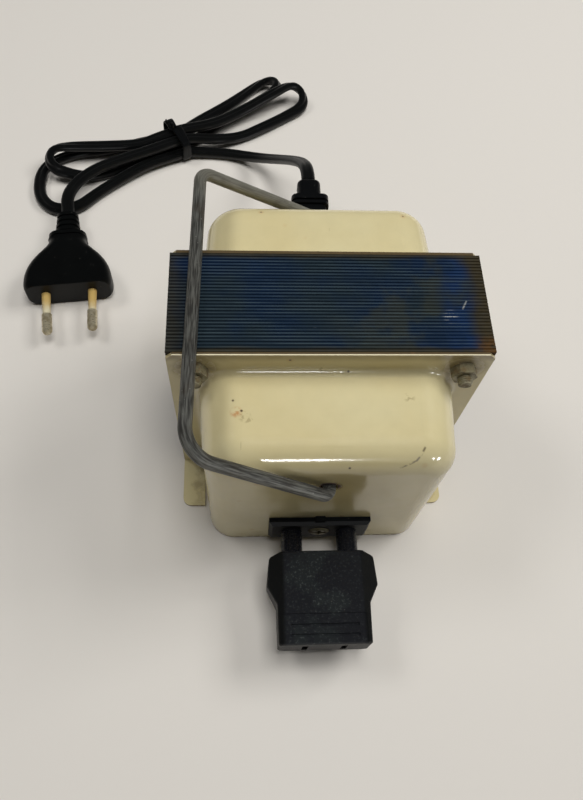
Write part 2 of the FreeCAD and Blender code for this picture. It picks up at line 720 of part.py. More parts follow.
def outlet_holes(sketch):
    for side in (-1, 1):
        circle(sketch, side * pin_span / 2, outlet_height, socket_boss + outlet_play)
    circle(sketch, 0, outlet_height, outlet_screw / 2 + outlet_play)


def relief_hole(sketch):
    half_x = relief_width / 2 - relief_shoulder
    half_z = relief_thick / 2 - relief_shoulder
    rectangle(sketch, -half_x, half_x, relief_height - half_z, relief_height + half_z)


def member(name, make, spots, rotation):
    """One body for each spot, turned the same way; they share a node."""
    made = []
    for i, (x, y, z) in enumerate(spots):
        piece = make(f"{name}_{i + 1}")
        place(piece, x, y, z, rotation)
        made.append(piece)
    return group(name, made)


def through_bolt(name):
    """Cheese head bolt: the head's seat is at the rear flange, the thread ends at the front."""
    reach = flange_face * 2 + nut_rise + bolt_end
    half = bolt_size / 2
    edge = length(0.4)
    profile = (
        (0, 0),
        (half - edge, 0),
        (half, edge),
        (half, reach),
        (bolt_head / 2, reach),
        (bolt_head / 2, reach + bolt_head_rise - edge),
        (bolt_head / 2 - edge, reach + bolt_head_rise),
        (0, reach + bolt_head_rise),
    )
    body = turned(name, profile)
    slot = sketch_on(body, name + "_slot", "XY_Plane", reach + bolt_head_rise / 2)
    rectangle(slot, -bolt_head, bolt_head, -slot_width / 2, slot_width / 2)
    feature(body, "Pocket", name + "_slot_cut", slot, Length=bolt_head_rise, reverse=True)
    return body


def hex_nut(name, bore, flats, rise):
    body = body_named(name)
    corner = flats / math.sqrt(3)
    sketch = sketch_on(body, name + "_hexagon", "XY_Plane")
    half = flats / 2
    polygon(sketch, ((corner, 0), (corner / 2, half), (-corner / 2, half), (-corner, 0),
                     (-corner / 2, -half), (corner / 2, -half)))
    feature(body, "Pad", name + "_block", sketch, Length=rise)
    hole = sketch_on(body, name + "_bore", "XY_Plane", -1)
    circle(hole, 0, 0, bore)
    feature(body, "Pocket", name + "_hole", hole, through=True, reverse=True)
    ring = sketch_on(body, name + "_crown", "XZ_Plane")
    cut = (corner - half) * 0.6
    polygon(ring, ((corner - cut * 1.8, rise), (corner + 1, rise), (corner + 1, rise - cut * 1.6)))
    groove = body.newObject("PartDesign::Groove", name + "_bevel")
    groove.Profile = ring
    groove.ReferenceAxis = (ring, ["V_Axis"])
    groove.Angle = 360
    doc.recompute()
    return body


def bolt_nut(name):
    return hex_nut(name, bolt_size / 2 + 0.05, nut_flats, nut_rise)


def outline_path(points, radii):
    """Straight runs joined by tangent arcs, one radius for each inner corner."""
    edges = []
    start = points[0]
    for i in range(1, len(points) - 1):
        before = (points[i] - points[i - 1]).normalize()
        after = (points[i + 1] - points[i]).normalize()
        half = before.getAngle(after) / 2
        back = radii[i - 1] * math.tan(half)
        inward = (after - before).normalize()
        centre = points[i] + inward * (radii[i - 1] / math.cos(half))
        enter = points[i] - before * back
        leave = points[i] + after * back
        middle = centre - inward * radii[i - 1]
        if (enter - start).Length > 1e-4:
            edges.append(Part.LineSegment(start, enter).toShape())
        edges.append(Part.Arc(enter, middle, leave).toShape())
        start = leave
    edges.append(Part.LineSegment(start, points[-1]).toShape())
    return Part.Wire(edges)


def swept(name, points, radii, width):
    """A round tube along a path of straight runs and arcs."""
    path = outline_path(points, radii)
    along = (points[1] - points[0]).normalize()
    ring = Part.Wire(Part.makeCircle(width / 2, points[0], along))
    solid = Part.Wire(path).makePipeShell([ring], True, False)
    wanted = path.Length * math.pi * width * width / 4
    if solid.ShapeType != "Solid" or abs(solid.Volume / wanted - 1) > 0.02:
        raise RuntimeError(f"{name} sweep: volume {solid.Volume:.1f}, section times length {wanted:.1f}")
    item = doc.addObject("Part::Feature", name)
    item.Label = name
    item.Shape = solid
    return item, path


def spot(*values):
    return Vector(*[length(value).value for value in values])


def handle():
    """Bent wire: each end enters a cover and the bar leans to the left on the core."""
    inside = face - cover_sheet - stub
    bar_height = core_height + bar_clear + wire / 2
    points = [
        spot(0, -inside, pivot_height),
        spot(0, -(face + arm_front), pivot_height),
        spot(bar_inset_front - core_width / 2, -(face + bar_past_front), bar_height),
        spot(bar_inset_rear - core_width / 2, face - bar_short_rear, bar_height),
        spot(0, face + arm_rear, pivot_height),
        spot(0, inside, pivot_height),
    ]
    radii = [bend_end.value, bend_front.value, bend_rear.value, bend_end.value]
    swept("handle", points, radii, wire.value)


def outlet_body():
    """The outlet's plate with its bevel and locating nib, and the two socket tubes behind it."""
    body = body_named("outlet_body")
    half = plate_width / 2
    low = outlet_height - plate_height / 2
    high = outlet_height + plate_height / 2
    plate = sketch_on(body, "outlet_plate", "XZ_Plane", face)
    rectangle(plate, -half, half, low, high)
    feature(body, "Pad", "outlet_plate_block", plate, Length=plate_rise)
    front = -plate_face.value

    def rim(edge):
        b = edge.BoundBox
        return lies_at(front, b.YMin, b.YMax)

    dress(body, "Chamfer", "outlet_bevel", rim, plate_bevel)
    nib = sketch_on(body, "outlet_nib", "XZ_Plane", face)
    rectangle(nib, -nib_width / 2, nib_width / 2, high - plate_bevel - 1, high + nib_rise)
    feature(body, "Pad", "outlet_nib_block", nib, Length=plate_rise - nib_back)
    bosses = sketch_on(body, "outlet_bosses", "XZ_Plane", face)
    for side in (-1, 1):
        circle(bosses, side * pin_span / 2, outlet_height, socket_boss)
    feature(body, "Pad", "outlet_boss_tubes", bosses, Length=boss_length, reverse=True)
    bores = sketch_on(body, "outlet_bores", "XZ_Plane", face - boss_length - 1)
    for side in (-1, 1):
        circle(bores, side * pin_span / 2, outlet_height, socket_bore + pin_play)
    feature(body, "Pocket", "outlet_bore_cut", bores, through=True, reverse=True)
    screw = sketch_on(body, "outlet_screw_hole", "XZ_Plane", face - 1)
    circle(screw, 0, outlet_height, outlet_screw / 2 + outlet_play)
    feature(body, "Pocket", "outlet_screw_cut", screw, through=True, reverse=True)
    sink = sketch_on(body, "outlet_screw_sink", "XZ_Plane", plate_face - head_sink)
    circle(sink, 0, outlet_height, outlet_head / 2 + outlet_play)
    feature(body, "Pocket", "outlet_sink_cut", sink, through=True, reverse=True)


def contact(name):
    """Brass socket tube, open at the front (z = 0 here) and closed behind."""
    bore = adapter_pin / 2 + pin_play
    lip = length(0.3)
    reach = boss_length
    profile = (
        (0, -reach),
        (socket_bore, -reach),
        (socket_bore, 0),
        (bore + lip, 0),
        (bore, -lip),
        (bore, contact_back - reach),
        (0, contact_back - reach),
    )
    return turned(name, profile)


def outlet_screw_piece():
    """Cross slot screw between the sockets: the head's seat is at z = 0 here."""
    reach = plate_rise - head_sink + cover_sheet + outlet_nut_rise + screw_past
    half = outlet_screw / 2
    point = length(0.3)
    profile = (
        (0, -reach),
        (half - point, -reach),
        (half, point - reach),
        (half, 0),
        (outlet_head / 2, 0),
        (outlet_head / 2, head_rise - head_edge),
        (outlet_head / 2 - 2 * head_edge, head_rise),
        (0, head_rise),
    )
    body = turned("outlet_screw", profile)
    for turn, word in ((0, "across"), (1, "up")):
        slot = sketch_on(body, "outlet_screw_" + word, "XY_Plane", head_rise - cross_depth)
        half_slot = slot_width / 2
        if turn:
            rectangle(slot, -half_slot, half_slot, -cross_half, cross_half)
        else:
            rectangle(slot, -cross_half, cross_half, -half_slot, half_slot)
        feature(body, "Pocket", "outlet_screw_cut_" + word, slot, Length=2, reverse=True)
    place(body, 0, head_sink - plate_face, outlet_height, TO_FRONT)


def outlet_nut():
    nut = hex_nut("outlet_nut", outlet_screw / 2 + 0.05, outlet_nut_flats, outlet_nut_rise)
    place(nut, 0, cover_sheet - face, outlet_height, TO_REAR)


def adapter_flanks(body, name):
    """Slope the sides of an adapter piece, above and below, from the flat top outwards."""
    middle = outlet_height + adapter_rise
    thick = adapter_thick / 2
    crown = adapter_crown / 2
    slope = adapter_fall / ((adapter_wide - adapter_crown) / 2)
    out = adapter_wide / 2 + 2
    drop = slope * (out - crown)
    flanks = sketch_on(body, name, "XZ_Plane", collar_end - 1)
    for side in (-1, 1):
        for level in (-1, 1):
            rim = middle + level * thick
            polygon(flanks, ((side * crown, rim), (side * out, rim), (side * out, rim - level * drop)))
    feature(body, "Pocket", name + "_cut", flanks, through=True, reverse=True)


def adapter_body():
    """Plug adapter: shaped grip, a lower end, two round collars and the cavities for its contacts."""
    body = body_named("adapter_body")
    thick = adapter_thick / 2
    middle = outlet_height + adapter_rise
    end = adapter_end - cap_thick
    grip = collar_end + adapter_waist
    outline = sketch_on(body, "adapter_outline", "XY_Plane", middle)
    half = (
        (adapter_rear / 2 - rear_cut, -collar_end),
        (adapter_rear / 2, -(collar_end + rear_fall)),
        (adapter_wide / 2, -(collar_end + adapter_shoulder)),
        (adapter_narrow / 2, -grip),
        (adapter_narrow / 2 - grip_draft, -end),
    )
    polygon(outline, mirrored_outline(half))
    feature(body, "Pad", "adapter_block", outline, Length=adapter_thick, both=True)
    front = -end.value

    def corner(edge):
        b = edge.BoundBox
        return b.ZLength > 5 and b.YMin > front + 1

    dress(body, "Fillet", "adapter_corners", corner, adapter_corner)
    adapter_flanks(body, "adapter_flanks")
    crown = adapter_crown.value / 2

    def crown_edge(edge):
        b = edge.BoundBox
        return b.YLength > 20 and lies_at(crown, abs(b.XMin), abs(b.XMax))

    def rim(edge):
        b = edge.BoundBox
        return b.ZLength < 4 and b.YLength < 20 and not lies_at(front, b.YMin, b.YMax)

    dress(body, "Fillet", "adapter_crowns", crown_edge, crown_round)
    dress(body, "Fillet", "adapter_rims", rim, adapter_round)
    step = sketch_on(body, "adapter_step", "XY_Plane", middle + thick - adapter_step)
    rectangle(step, -adapter_wide, adapter_wide, -end - 1, -(grip + step_back))
    feature(body, "Pocket", "adapter_step_cut", step, through=True, reverse=True)
    floor = middle + thick - adapter_step - groove_depth
    grooves = sketch_on(body, "adapter_grooves", "XY_Plane", floor)
    for number in range(2):
        y = groove_back + number * groove_pitch - adapter_end
        rectangle(grooves, -groove_half, groove_half, y - groove_width / 2, y + groove_width / 2)
    feature(body, "Pocket", "adapter_groove_cut", grooves, through=True, reverse=True)
    collars = sketch_on(body, "adapter_collars", "XZ_Plane", plate_face)
    for side in (-1, 1):
        circle(collars, side * pin_span / 2, outlet_height, collar_size / 2)
    feature(body, "Pad", "adapter_collar_pair", collars, Length=collar_length + collar_sink)
    bores = sketch_on(body, "adapter_bores", "XZ_Plane", plate_face - 1)
    for side in (-1, 1):
        circle(bores, side * pin_span / 2, outlet_height, adapter_pin / 2 + pin_play)
    deep = adapter_pin_end - plate_face + 1
    feature(body, "Pocket", "adapter_bore_cut", bores, Length=deep, reverse=True)
    pockets = sketch_on(body, "adapter_pockets", "XZ_Plane", adapter_pin_end)
    outer = pin_span / 2 + adapter_pin / 2 + pocket_play
    tall = contact_height / 2 + pocket_play
    for side in (-1, 1):
        rectangle(pockets, side * pocket_inner, side * outer, outlet_height - tall, outlet_height + tall)
    feature(body, "Pocket", "adapter_pocket_cut", pockets, through=True, reverse=True)


def adapter_cap():
    """End cap with the two blade slots."""
    body = body_named("adapter_cap")
    middle = outlet_height + adapter_rise
    high = middle + adapter_thick / 2 - adapter_step
    low = middle - adapter_thick / 2
    half = adapter_narrow / 2 - grip_draft
    start = adapter_end - cap_thick
    block = sketch_on(body, "cap_block", "XZ_Plane", start)
    rectangle(block, -half, half, low, high)
    feature(body, "Pad", "cap_pad", block, Length=cap_thick)
    adapter_flanks(body, "cap_flanks")

    def long_edges(edge):
        return edge.BoundBox.YLength > 1

    dress(body, "Fillet", "cap_corners", long_edges, adapter_round)

    def rim(edge):
        b = edge.BoundBox
        return lies_at(-adapter_end.value, b.YMin, b.YMax)

    dress(body, "Fillet", "cap_rim", rim, 0.8)
    slots = sketch_on(body, "cap_slots", "XZ_Plane", start - 1)
    for side in (-1, 1):
        x = side * blade_span / 2
        rectangle(slots, x - blade_width / 2, x + blade_width / 2,
                  outlet_height - blade_height / 2, outlet_height + blade_height / 2)
    feature(body, "Pocket", "cap_slot_cut", slots, through=True, reverse=True)


def adapter_pin_piece(name):
    """Round pin with a domed tip, its tip at z = 0 here."""
    half = adapter_pin / 2
    reach = adapter_pin_end - adapter_pin_tip
    profile = (
        (0, 0),
        (half - 1.2, 0),
        (half - 0.35, 0.4),
        (half, 1.2),
        (half, reach),
        (0, reach),
    )
    return turned(name, profile)


def adapter_contact(name, side):
    """Bent strip: a foot against the pin's end, a leg to the slot and a lip folded back on it."""
    body = body_named(name)
    start = adapter_pin_end
    leg = side * (blade_span / 2 + blade_width / 2 + strip_play)
    out = leg + side * strip
    foot = side * (pin_span / 2 + strip_foot)
    tip = adapter_end - cap_thick - strip_short
    outline = sketch_on(body, name + "_outline", "XY_Plane", outlet_height)
    polygon(outline, ((leg, -start), (foot, -start), (foot, -(start + strip)), (out, -(start + strip)),
                      (out, -tip), (leg, -tip)))
    feature(body, "Pad", name + "_strip", outline, Length=contact_height, both=True)
    return body


def lead_paths():
    """Insulated wires inside: coil to outlet at the front, coil to the cord at the rear."""
    front = contact_front - boss_length
    drop = front - lead_size
    wrap = half_stack + coil_reach
    lead_height = window_high - lead_drop
    splice_y = face - splice_back
    thin = lead_size.value
    round_radius = thin * 0.95
    made = []
    for side, word in ((-1, "left"), (1, "right")):
        x = side * pin_span / 2
        points = [spot(x, -front, outlet_height), spot(x, -drop, outlet_height),
                  spot(x, -drop, lead_height), spot(x, -wrap, lead_height)]
        piece, path = swept("front_lead_" + word, points, [round_radius] * 2, thin)
        made.append(piece)
    group("front_leads", made)
    made = []
    tails = []
    for side, word in ((-1, "left"), (1, "right")):
        x = side * splice_span / 2
        inner = x - side * (lead_size / 2 + 0.1)
        outer = x + side * (lead_size / 2 + 0.1)
        high = splice_height + splice_length
        points = [spot(outer, wrap, high + 6), spot(outer, splice_y, high + 6),
                  spot(outer, splice_y, splice_height + 3)]
        piece, path = swept("rear_lead_" + word, points, [round_radius * 2], thin)
        made.append(piece)
        near = side * (lead_size / 2 + 0.3)
        back = face - cover_sheet - relief_clip
        points = [spot(near, back, relief_height), spot(near, back - 3.4, relief_height),
                  spot(inner, splice_y, high + 4), spot(inner, splice_y, splice_height + 3)]
        piece, path = swept("cord_core_" + word, points, [round_radius, round_radius], thin)
        tails.append(piece)
    group("rear_leads", made)
    group("cord_cores", tails)


def splice_cap(name):
    """Closed crimp cap, open at its top."""
    outer = splice_size / 2
    bore = lead_size + 0.25
    profile = (
        (0, 0),
        (outer - 0.8, 0),
        (outer, 0.8),
        (outer, splice_length),
        (bore, splice_length),
        (bore, 2),
        (0, 2),
    )
    return turned(name, profile)


def strain_relief():
    """Moulded cord exit: a clip inside the rear cover, a wide block with ribs and a blunt neck."""
    body = body_named("strain_relief")
    out_x = relief_width / 2
    out_z = relief_thick / 2
    in_x = out_x - relief_waist
    in_z = out_z - relief_waist
    hole_x = out_x - relief_shoulder - relief_play
    hole_z = out_z - relief_shoulder - relief_play
    rim = face + relief_length - relief_rim
    gap = rim - relief_gap
    rib = gap - relief_rib
    waist = face + relief_base
    neck = face + relief_length
    steps = (
        ("clip", face - cover_sheet - relief_clip, relief_clip, in_x, in_z),
        ("throat", face - cover_sheet, cover_sheet, hole_x, hole_z),
        ("base", face, relief_base, out_x, out_z),
        ("waist", waist, rib - waist, in_x, in_z),
        ("rib", rib, relief_rib, out_x, out_z),
        ("gap", gap, relief_gap, in_x, in_z),
        ("rim", rim, relief_rim, out_x, out_z),
        ("neck", neck, relief_neck, relief_neck_width / 2, relief_neck_thick / 2),
    )
    for name, start, reach, half_x, half_z in steps:
        section = sketch_on(body, "relief_" + name, "XZ_Plane", -start)
        rounded(section, half_x, half_z, relief_round)
        feature(body, "Pad", "relief_" + name + "_pad", section, Length=reach, reverse=True)
    tip = (face + relief_length + relief_neck).value

    def blunt(edge):
        b = edge.BoundBox
        return lies_at(tip, b.YMin, b.YMax)

    dress(body, "Fillet", "relief_tip", blunt, relief_tip)
    place(body, z=relief_height)


def plug_frame(piece, x=0, y=0, z=0):
    """Lay a piece drawn in the plug's own frame: pin face at y = 0, pins towards -y."""
    turn = Rotation(Vector(0, 0, 1), plug_turn.value)
    base = spot(plug_x, plug_y, plug_rest + plug_thick / 2)
    piece.Placement = Placement(base, turn) * piece.Placement


def plug_body():
    """Flat two pin plug: a shoulder, a taper to the collar with its rim, and a ribbed neck."""
    body = body_named("plug_body")
    wide = plug_width / 2
    thick = plug_thick / 2
    collar = plug_collar / 2
    collar_thick = thick - collar_back
    stations = (
        (length(0), wide - 1.1, thick - 0.6),
        (plug_length * 0.05, wide - 0.3, thick - 0.1),
        (plug_length * 0.16, wide, thick),
        (plug_length * 0.34, wide - 0.7, thick),
        (plug_length * 0.56, wide * 0.81, thick - 0.15),
        (plug_length * 0.74, wide * 0.6, thick - 0.45),
        (plug_length * 0.88, collar + 0.15, thick - 0.85),
        (plug_length, collar, collar_thick),
    )
    sections = []
    for i, (back, half_x, half_z) in enumerate(stations):
        section = sketch_on(body, f"plug_section_{i + 1}", "XZ_Plane", -back)
        rounded(section, half_x, half_z, plug_round)
        sections.append(section)
    loft = body.newObject("PartDesign::AdditiveLoft", "plug_loft")
    loft.Profile = sections[0]
    loft.Sections = sections[1:]
    doc.recompute()
    lap = length(0.1)
    rim_start = plug_length + collar_groove
    neck_start = rim_start + collar_rim
    steps = (
        ("groove", plug_length, collar_groove, groove_sink),
        ("rim", rim_start, collar_rim, rim_sink),
    )
    for name, start, reach, sink in steps:
        section = sketch_on(body, "plug_" + name, "XZ_Plane", lap - start)
        rounded(section, collar - sink, collar_thick - sink, plug_round)
        feature(body, "Pad", "plug_" + name + "_pad", section, Length=reach + lap, reverse=True)
    parts = int(neck_ribs.value) * 2
    reach = (plug_length + plug_tail - neck_start) / parts
    for i in range(parts):
        sink = neck_draw * i + (rib_depth if i % 2 == 0 else length(0))
        section = sketch_on(body, f"plug_neck_{i + 1}", "XZ_Plane", lap - neck_start - reach * i)
        half_z = plug_neck_thick / 2 - sink
        rounded(section, plug_neck / 2 - sink, half_z, half_z - 0.4)
        feature(body, "Pad", f"plug_neck_pad_{i + 1}", section, Length=reach + lap, reverse=True)
    holes = sketch_on(body, "plug_pin_holes", "XZ_Plane", 1)
    for side in (-1, 1):
        circle(holes, side * plug_span / 2, 0, root_size / 2 + root_play)
    feature(body, "Pocket", "plug_pin_bores", holes, Length=pin_root + 1, reverse=False)
    plug_frame(body)


def plug_pins_and_sleeves():
    """Two pins that lean together a little, with insulated inner halves."""
    pins = []
    sleeves = []
    half = plug_pin / 2
    root = root_size / 2
    neck = sleeve_end / 2 - sleeve_wall
    seat = length(0.02)
    play = length(0.1)
    for side, word in ((-1, "left"), (1, "right")):
        profile = (
            (0, play - pin_root),
            (root, play - pin_root),
            (root, 0),
            (neck, 0),
            (neck, sleeve_length),
            (half, sleeve_length),
            (half, plug_pin_length - pin_round),
            (half - 0.5, plug_pin_length - 0.4),
            (half - pin_round, plug_pin_length),
            (0, plug_pin_length),
        )
        pin = turned("plug_pin_" + word, profile)
        sleeve = turned("plug_sleeve_" + word, (
            (neck + seat, seat),
            (sleeve_size / 2, seat),
            (sleeve_end / 2, sleeve_length - seat),
            (neck + seat, sleeve_length - seat),
        ))
        lean = Rotation(Vector(0, 0, 1), -side * plug_lean.value)
        for piece in (pin, sleeve):
            piece.Placement = Placement(spot(side * plug_span / 2, 0, 0), lean * TO_FRONT)
            plug_frame(piece)
        pins.append(pin)
        sleeves.append(sleeve)
    group("plug_pins", pins)
    group("plug_pin_sleeves", sleeves)


# The cord's route on the floor, from its exit through the tie and the loops to the plug
LEAD_ROUTE = (
    (0, 81.0, 43.3), (0, 87.6, 43.3), (-1.3, 95.6, 39.3), (-3.7, 104, 32), (-7.1, 112.6, 23.8),
    (-11.6, 121.2, 15.4), (-17.4, 128.8, 8.2), (-24.6, 134.2, 3.8), (-33.4, 136.9, 2.6), (-42.8, 137.3, 2.6),
    (-51, 136.9, 3.3), (-57.3, 134.0, 3.5),
)
FIRST_LEFT_LOOP = (
    (-57.3, 134.0, 3.5), (-70.3, 127.8, 4.0), (-84.2, 117.2, 3.1), (-92.6, 109.8, 2.6), (-99.0, 102.0, 2.6),
    (-108.6, 100.4, 2.6), (-114.8, 105.5, 2.8), (-117.5, 113.0, 2.7), (-117.5, 122.9, 2.6),
    (-113.7, 129.3, 2.6), (-103.8, 135.2, 2.6), (-87.3, 137.7, 2.6), (-71.0, 143.6, 2.6),
)
FIRST_RIGHT_LOOP = (
    (-62.2, 145.4, 3.3), (-55.2, 148.8, 3.3), (-46.9, 157.4, 2.8), (-33.4, 166.6, 4.1), (-23.3, 178.1, 2.4),
    (-15.0, 185.4, 2.9), (-8.2, 182.2, 5.5), (-8.9, 174.2, 6.3), (-21.1, 168.8, 2.6), (-36.6, 156.4, 2.6),
    (-45.7, 146.4, 2.6), (-52.6, 143.9, 3.3),
)
SECOND_LEFT_LOOP = (
    (-59.4, 140.1, 3.3), (-66.8, 136.4, 2.6), (-79.6, 127.2, 2.6), (-93.8, 120.9, 2.6), (-102.6, 120.4, 3.9),
    (-110.8, 121.1, 6.3), (-113.7, 126.3, 8.0), (-111.2, 132.0, 8.3), (-102.9, 133.9, 8.0),
    (-88.9, 134.8, 7.8), (-73.1, 137.9, 6.1), (-65.2, 141.2, 7.4),
)
SECOND_RIGHT_LOOP = (
    (-60.8, 142.8, 8.0), (-54.1, 146.2, 8.2), (-40.1, 149.2, 8.5), (-27.1, 159.9, 6.4), (-11.3, 168.2, 10.5),
    (-1.7, 176.6, 9.1), (4.3, 174.5, 5.8), (4.5, 168.0, 2.8), (-5.4, 161.3, 2.5), (-15.9, 153.5, 3.4),
    (-26.8, 147.2, 2.6), (-39.3, 141.9, 6.4), (-51.1, 141.0, 7.9), (-59.7, 136.8, 8.2),
)
PLUG_ROUTE = (
    (-59.7, 136.8, 8.2), (-68.5, 132.5, 8.0), (-83.6, 125.1, 8.2), (-92.6, 119.9, 8.2), (-99.8, 112.6, 7.8),
    (-102.7, 103.4, 8.6), (-102.0, 97.2, 7.05), (-101.55, 93.24, 6.92),
)


def cord_tube(name, route):
    """One stretch of cord; prints its length and its tightest bend."""
    points = [Vector(*place) for place in route]
    radii = []
    for i in range(1, len(points) - 1):
        before = points[i] - points[i - 1]
        after = points[i + 1] - points[i]
        half = before.getAngle(after) / 2
        shorter = min(before.Length, after.Length)
        radii.append(cord_bend.value * shorter / math.tan(half))
    item, path = swept(name, points, radii, cord.value)
    print(f"{name}: length {path.Length:.1f} mm, tightest bend {min(radii):.1f} mm")
    return path


def least_gap(paths):
    """Least gap between stretches of the cord that are more than three diameters apart along it."""
    spots = []
    reached = 0.0
    for path in paths:
        steps = int(path.Length / 1.5)
        ordered = path.discretize(steps + 1)
        pitch = path.Length / steps
        spots += [(reached + i * pitch, point) for i, point in enumerate(ordered)]
        reached += path.Length
    apart = cord.value * 3
    least = min(
        near.distanceToPoint(other)
        for i, (along, near) in enumerate(spots)
        for further, other in spots[i + 1:]
        if further - along > apart
    )
    return least - cord.value


def cord_pieces():
    hank_route = FIRST_LEFT_LOOP + FIRST_RIGHT_LOOP + SECOND_LEFT_LOOP + SECOND_RIGHT_LOOP
    paths = [cord_tube("cord_lead", LEAD_ROUTE)]
    paths.append(cord_tube("cord_hank", hank_route))
    paths.append(cord_tube("cord_plug_lead", PLUG_ROUTE))
    gap = least_gap(paths)
    print(f"cord: least gap to itself {gap:.2f} mm")
    if gap < 0.4:
        raise RuntimeError("the cord runs into itself")


def cord_tie():
    """Band round the five strands of the hank."""
    body = body_named("cord_tie")
    middle = (tie_low + tie_high) / 2
    half_z = (tie_high - tie_low) / 2
    outer = sketch_on(body, "tie_outside", "XZ_Plane", -tie_band / 2)
    rounded(outer, tie_half + tie_wall, half_z + tie_wall, length(3.4) + tie_wall)
    feature(body, "Pad", "tie_block", outer, Length=tie_band)
    inner = sketch_on(body, "tie_inside", "XZ_Plane", -tie_band / 2 - 1)
    rounded(inner, tie_half, half_z, length(3.4))
    feature(body, "Pocket", "tie_hole", inner, Length=tie_band + 2, reverse=True)
    place(body, tie_x, tie_y, middle, Rotation(Vector(0, 0, 1), tie_turn.value))


e_laminations()
i_laminations()
coil_former()
wound_layer("low_voltage_winding", first_layer, first_layer + inner_build)
wound_layer("winding_paper", paper_layer, paper_layer + paper_build)
wound_layer("high_voltage_winding", outer_layer, outer_layer + outer_build)
wound_layer("coil_wrap", wrap_layer, coil_reach)
cover("front_cover", False, outlet_holes)
cover("rear_cover", True, relief_hole)
rear_seats = [(x, -(flange_face + nut_rise + bolt_end), z) for x, z in bolt_spots()]
member("through_bolts", through_bolt, rear_seats, TO_REAR)
member("bolt_nuts", bolt_nut, [(x, -flange_face, z) for x, z in bolt_spots()], TO_FRONT)
handle()
outlet_body()
contact_mouths = [(side * pin_span / 2, -contact_front, outlet_height) for side in (-1, 1)]
member("outlet_contacts", contact, contact_mouths, TO_FRONT)
outlet_screw_piece()
outlet_nut()
adapter_body()
adapter_cap()
pin_tips = [(side * pin_span / 2, -adapter_pin_tip, outlet_height) for side in (-1, 1)]
member("adapter_pins", adapter_pin_piece, pin_tips, TO_FRONT)
strips = [adapter_contact("adapter_contact_left", -1), adapter_contact("adapter_contact_right", 1)]
group("adapter_contacts", strips)
lead_paths()
cap_spots = [(side * splice_span / 2, face - splice_back, splice_height) for side in (-1, 1)]
member("splice_caps", splice_cap, cap_spots, Rotation())
strain_relief()
plug_body()
plug_pins_and_sleeves()
cord_pieces()
cord_tie()
doc.recompute()
os.makedirs("parts", exist_ok=True)
for item in doc.Objects:
    if "Invalid" in item.State or "Error" in item.State:
        raise RuntimeError(f"{item.Label} is {item.State}")
NODES = (
    "e_laminations", "i_laminations", "coil_former", "low_voltage_winding", "winding_paper",
    "high_voltage_winding", "coil_wrap", "front_cover", "rear_cover", "through_bolts", "bolt_nuts",
    "handle", "outlet_body", "outlet_contacts", "outlet_screw", "outlet_nut", "adapter_body",
    "adapter_cap", "adapter_pins", "adapter_contacts", "front_leads", "rear_leads", "cord_cores",
    "splice_caps", "strain_relief", "cord_lead", "cord_hank", "cord_plug_lead", "cord_tie",
    "plug_body", "plug_pins", "plug_pin_sleeves",
)
for name in NODES:
    item = doc.getObjectsByLabel(name)[0]
    shape = item.Shape
    if shape.isNull() or not shape.isValid() or not shape.Solids:
        raise RuntimeError(f"{name} is not a valid solid")
    box = shape.BoundBox
    low = f"({box.XMin:.2f}, {box.YMin:.2f}, {box.ZMin:.2f})"
    high = f"({box.XMax:.2f}, {box.YMax:.2f}, {box.ZMax:.2f})"
    print(f"{name}: {len(shape.Solids)} solids, {shape.Volume:.1f} mm3, {low} to {high}")
    shape.exportStep(f"parts/{name}.step")
print(f"{len(NODES)} nodes")
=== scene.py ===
import math

import bpy
from mathutils import Matrix, Vector


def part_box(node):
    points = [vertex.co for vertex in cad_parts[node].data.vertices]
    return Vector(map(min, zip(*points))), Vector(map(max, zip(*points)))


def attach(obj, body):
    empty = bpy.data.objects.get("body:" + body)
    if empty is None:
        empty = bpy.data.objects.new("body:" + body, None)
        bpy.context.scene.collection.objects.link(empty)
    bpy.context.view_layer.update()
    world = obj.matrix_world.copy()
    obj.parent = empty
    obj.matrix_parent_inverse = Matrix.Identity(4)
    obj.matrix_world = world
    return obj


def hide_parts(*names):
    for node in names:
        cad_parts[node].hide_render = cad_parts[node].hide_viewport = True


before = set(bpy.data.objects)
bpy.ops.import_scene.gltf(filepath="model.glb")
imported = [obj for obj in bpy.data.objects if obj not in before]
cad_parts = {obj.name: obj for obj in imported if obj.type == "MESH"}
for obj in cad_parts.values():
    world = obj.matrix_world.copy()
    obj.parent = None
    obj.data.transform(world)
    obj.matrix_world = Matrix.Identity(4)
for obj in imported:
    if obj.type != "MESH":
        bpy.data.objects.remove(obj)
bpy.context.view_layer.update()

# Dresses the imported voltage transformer: finishes for every CAD node, the flat twin cord with its
# tie, the bolts' threads, and a plain stage with its lights and camera. The frame is in metres with
# +Z up and the outlet towards -Y, and places written in millimetres are multiplied by MM.

bl_info = {
    "name": "Voltage transformer dressing",
    "version": (1, 0, 0),
    "blender": (4, 5, 0),
    "location": "3D View > Sidebar > Transformer",
    "description": "Finishes, cord, tie, threads and stage for a packed voltage transformer",
    "category": "Object",
}

MM = 0.001

# Sizes of the CAD part that the finishes follow
CORE_LOW, CORE_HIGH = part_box("e_laminations")
FRONT_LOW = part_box("front_cover")[0]
HALF_STACK = CORE_HIGH.y
COVER_SHEET = 1 * MM
COVER_FACES = (FRONT_LOW.y, -FRONT_LOW.y)
FLANGE_FACES = (-HALF_STACK - COVER_SHEET, HALF_STACK + COVER_SHEET)
PACKETS = 30
BOLT_SPOTS = [(x * MM, z * MM) for x in (-40, 40) for z in (8, 72)]
NUT_FACE = 21.7 * MM
BOLT_RADIUS = 2 * MM
BOLT_REACH = 2.4 * MM
ADAPTER_CROWN = 12.9 * MM
ADAPTER_TOP = 22.5 * MM
COLLAR_END = -59.7 * MM

